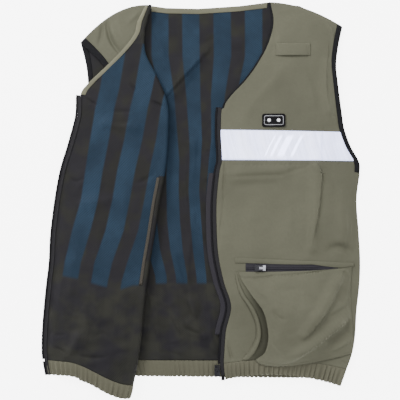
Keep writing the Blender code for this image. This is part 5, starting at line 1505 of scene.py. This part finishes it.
class VEST_OT_front_zip(VestOperator):
    """Both halves of the front zip: tapes, teeth and the band behind them"""

    bl_idname = "vest.front_zip"
    bl_label = "Front zip"

    def execute(self, context):
        half = SHELL_THICK / 2
        rows = fine_rows(NECK_CORNER_ROW, LEFT_HEM_ROW + 0.75, 200)
        tape = beyond_edge(left_front, rows, 0.0, np.linspace(CLEAR, ZIP_TAPE_REACH, 8))
        sew("left_zip_cloth", "left_zip_tape", *tape, -half, ZIP_TAPE_THICK - half, "zip", "zip_black")
        middle = ZIP_TAPE_THICK / 2 - half
        toothed = rows[rows <= LEFT_HEM_ROW]
        add_teeth("left_zip_row", "left_zip_teeth", left_front, toothed, 0.0, ZIP_TAPE_REACH, middle)

        behind = np.linspace(*GUARD_ROWS, 90)
        face = middle - ZIP_TEETH_THICK / 2 - CLEAR
        reaches = np.concatenate([[-ZIP_GUARD_TUCK], np.linspace(0, ZIP_GUARD_WIDTH, 12)])
        guard = beyond_edge(left_front, behind, 0.0, reaches)
        sew("left_zip_flap", "left_zip_guard", *guard, face - ZIP_TAPE_THICK, face, "guard", "zip_black")

        rows = fine_rows(RIGHT_CORNER_ROW + 0.05, len(RIGHT_ROWS) - 1, 180)
        face = -HEM_THICK / 2 - CLEAR
        reaches = np.concatenate([np.linspace(-ZIP_TAPE_OVERLAP, 0, 4), np.linspace(0, ZIP_TAPE_PAST, 4)[1:]])
        tape = beyond_edge(right_front, rows, 1.0, reaches)
        sew("right_zip_cloth", "right_zip_tape", *tape, face - ZIP_TAPE_THICK, face, "zip", "zip_black")
        toothed = rows[rows <= RIGHT_HEM_ROW]
        lift = face - ZIP_TAPE_THICK / 2
        add_teeth("right_zip_row", "right_zip_teeth", right_front, toothed, 1.0, ZIP_TAPE_PAST, lift)
        return {"FINISHED"}


class VEST_OT_pocket(VestOperator):
    """Bellows pocket: full bag, welt and the zip between them"""

    bl_idname = "vest.pocket"
    bl_label = "Pocket"

    def execute(self, context):
        below = np.linspace(BAG_END_ROW, len(BAG_ROWS) - 1, 12)
        rows = np.concatenate([np.linspace(0, BAG_END_ROW, 131)[:-1], below])
        across = np.concatenate([np.linspace(0, GUSSET_SHARE, 41)[:-1], np.linspace(GUSSET_SHARE, 1, 131)])
        u, v = np.meshgrid(across, rows)
        smooth, normal = with_normals(bag, u, v)
        edges = smooth_step(u, GUSSET_SHARE * 0.6, GUSSET_SHARE * 1.05) * smooth_step(1 - u, 0, 0.03)
        edges = edges * inside(v, len(BAG_ROWS) - 1, 0.3)
        points = smooth + normal * (uneven(smooth, BAG_CREASES, BAG_WAVES) * edges)[..., None]
        # Painted shade: a mask over the middle of the pocket's side, where its valley lies under the turned
        # edge, darkens the cloth there
        side = u / GUSSET_SHARE
        painted_shade = smooth_step(side, 0.30, 0.52) * (1 - smooth_step(side, 0.84, 1.0)) * smooth_step(v, 1.4, 3.2)
        pattern = np.stack([painted_shade, v], axis=-1)
        cloth = sew("pocket_cloth", "pocket_bag", points, normal, 0, POCKET_THICK, "pocket", pattern=pattern)
        cut(smooth)
        self.add_welt()
        self.add_zip()
        return {"FINISHED"}

    def add_welt(self):
        """Strip above the zip, from its straight top edge down to the gap."""
        x = np.linspace(WELT_LEFT_X, WELT_RIGHT_X, 121) * CHEST_WIDTH
        share = (x - x[0]) / (x[-1] - x[0])
        bottom = bag_top(x) + zip_gap(x)
        top = (WELT_TOP - WELT_RIGHT_DROP * share) * BODY_LENGTH
        t = np.linspace(0, 1, 15)[:, None]
        y = top + (bottom - top) * t
        rise = POCKET_THICK * (0.55 + 0.45 * np.sin(math.pi * t))[..., None]
        base = over_left_front(np.broadcast_to(x, y.shape), y, WELT_LIFT)
        sew("pocket_welt_cloth", "pocket_welt", base, UP, 0, rise, "shell")

    def add_zip(self):
        """Closed zip of the pocket: two tapes that rise to a coil with a groove along its middle."""
        x = np.linspace(POCKET_ZIP_LEFT_X, POCKET_ZIP_RIGHT_X, 121) * CHEST_WIDTH
        middle = bag_top(x) + zip_gap(x) / 2
        y = middle + np.linspace(0.5, -0.5, 41)[:, None] * (zip_gap(x) + 2 * POCKET_ZIP_TUCK)
        away = np.abs(y - middle)
        coil = ZIP_COIL_RISE * np.sqrt(np.clip(1 - (away / ZIP_TEETH_WIDTH) ** 2, 0, 1))
        groove = ZIP_COIL_RISE * 0.7 * np.exp(-((away / ZIP_GROOVE_HALF) ** 2))
        open_part = smooth_step(zip_gap(x), 0.35 * POCKET_ZIP_GAP, 0.7 * POCKET_ZIP_GAP)
        base = over_left_front(np.broadcast_to(x, y.shape), y, SHELL_THICK / 2 + CLEAR)
        rise = (ZIP_TAPE_THICK + (coil - groove) * open_part)[..., None]
        sew("pocket_zip_cloth", "pocket_zip", base, UP, 0, rise, "guard", "zip_black")


class VEST_OT_loop(VestOperator):
    """Webbing loop on the chest"""

    bl_idname = "vest.loop"
    bl_label = "Chest loop"

    def execute(self, context):
        share = np.linspace(-1, 1, 61)
        x, y = np.meshgrid(share * LOOP_LENGTH / 2, np.linspace(0.5, -0.5, 15) * LOOP_WIDTH)
        x, y = x + LOOP_AT[0] * CHEST_WIDTH, y + LOOP_AT[1] * BODY_LENGTH
        arch = LOOP_ARCH * np.clip(1 - share**4, 0, 1) * smooth_step(0.92 - np.abs(share), 0, 0.12)
        base = over_left_front(x, y, SHELL_THICK / 2 + CLEAR + arch)
        rise = LOOP_THICK * (0.6 + 0.4 * np.sin(np.linspace(0, math.pi, 15)) ** 0.4)[:, None, None]
        sew("chest_webbing", "chest_loop", base, UP, 0, rise, "shell")
        return {"FINISHED"}


class VEST_OT_cuts(VestOperator):
    """An empty step: it works out no flat size of any sheet of cloth or strip sewn to it"""

    bl_idname = "vest.cuts"
    bl_label = "Cut sizes"

    def execute(self, context):
        return {"FINISHED"}


CARRIED_OVER = {
    "teeth": ("right_zip_pin", "front_zip_box"),
    "rubber": ("badge_plate",),
    "outline": ("badge_bezel",),
    "metal": ("pocket_zip_slider",),
    "gunmetal": ("pocket_zip_pull", "front_zip_slider", "front_zip_pull"),
    "lamp": ("badge_light_left", "badge_light_right"),
}


class VEST_OT_fittings(VestOperator):
    """Finishes of the part's own hard pieces"""

    bl_idname = "vest.fittings"
    bl_label = "Fittings"

    def execute(self, context):
        for finish_name, nodes in CARRIED_OVER.items():
            for node in nodes:
                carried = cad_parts[node]
                for place in carried.material_slots:
                    place.material = finish(finish_name)
        return {"FINISHED"}


class VEST_OT_stage(VestOperator):
    """Pale floor, soft light and the camera over the vest"""

    bl_idname = "vest.stage"
    bl_label = "Stage"

    def execute(self, context):
        corners = FLOOR_HALF * np.array([(-1, -1, 0), (1, -1, 0), (1, 1, 0), (-1, 1, 0)])
        make_object("floor", corners, [[0, 1, 2, 3]], finish("floor"), smooth=False, turn_out=False)
        scene = context.scene
        scene.world = bpy.data.worlds.new("soft_room")
        scene.world.use_nodes = True
        background = scene.world.node_tree.nodes["Background"]
        background.inputs["Color"].default_value = (1, 1, 1, 1)
        background.inputs["Strength"].default_value = ROOM_LIGHT
        for light in LIGHTS:
            lamp = bpy.data.lights.new(light.name, "AREA")
            lamp.size, lamp.energy = light.size, light.power
            place = Vector((light.x, light.y, light.z))
            holder = bpy.data.objects.new(light.name, lamp)
            holder.location = place
            holder.rotation_mode = "QUATERNION"
            holder.rotation_quaternion = (-place).to_track_quat("-Z", "Y")
            scene.collection.objects.link(holder)
        middle = Vector((VIEW_CENTRE[0] * CHEST_WIDTH, VIEW_CENTRE[1] * BODY_LENGTH, 0)) + Vector(SHIFT)
        camera = bpy.data.cameras.new("camera")
        camera.lens, camera.sensor_width = LENS, SENSOR
        camera.clip_start, camera.clip_end = 0.01, 50
        holder = bpy.data.objects.new("camera", camera)
        holder.location = middle + Vector((0, 0, VIEW_WIDTH * LENS / SENSOR + CAMERA_LEVEL))
        scene.collection.objects.link(holder)
        scene.camera = holder
        return {"FINISHED"}


class VEST_PT_panel(bpy.types.Panel):
    """The vest's sizes, colours and pieces"""

    bl_label = "Cooling vest"
    bl_idname = "VEST_PT_panel"
    bl_space_type = "VIEW_3D"
    bl_region_type = "UI"
    bl_category = "Vest"

    def draw(self, context):
        layout = self.layout
        for group in (context.scene.vest_sizes, context.scene.vest_colours):
            box = layout.box()
            for key in group.__annotations__:
                box.prop(group, key)
        for operator in OPERATORS:
            layout.operator(operator.bl_idname)


OPERATORS = (
    VEST_OT_back,
    VEST_OT_left_front,
    VEST_OT_right_front,
    VEST_OT_front_zip,
    VEST_OT_pocket,
    VEST_OT_loop,
    VEST_OT_cuts,
    VEST_OT_fittings,
    VEST_OT_stage,
)
CLASSES = (VestSizes, VestColours, *OPERATORS, VEST_PT_panel)


def register():
    for kind in CLASSES:
        bpy.utils.register_class(kind)
    bpy.types.Scene.vest_sizes = PointerProperty(type=VestSizes)
    bpy.types.Scene.vest_colours = PointerProperty(type=VestColours)


def unregister():
    del bpy.types.Scene.vest_colours
    del bpy.types.Scene.vest_sizes
    for kind in reversed(CLASSES):
        bpy.utils.unregister_class(kind)


def main():
    register()
    bpy.ops.vest.back()
    bpy.ops.vest.left_front()
    bpy.ops.vest.right_front()
    bpy.ops.vest.front_zip()
    bpy.ops.vest.pocket()
    bpy.ops.vest.loop()
    bpy.ops.vest.cuts()
    bpy.ops.vest.fittings()
    bpy.ops.vest.stage()


if __name__ == "__main__":
    main()
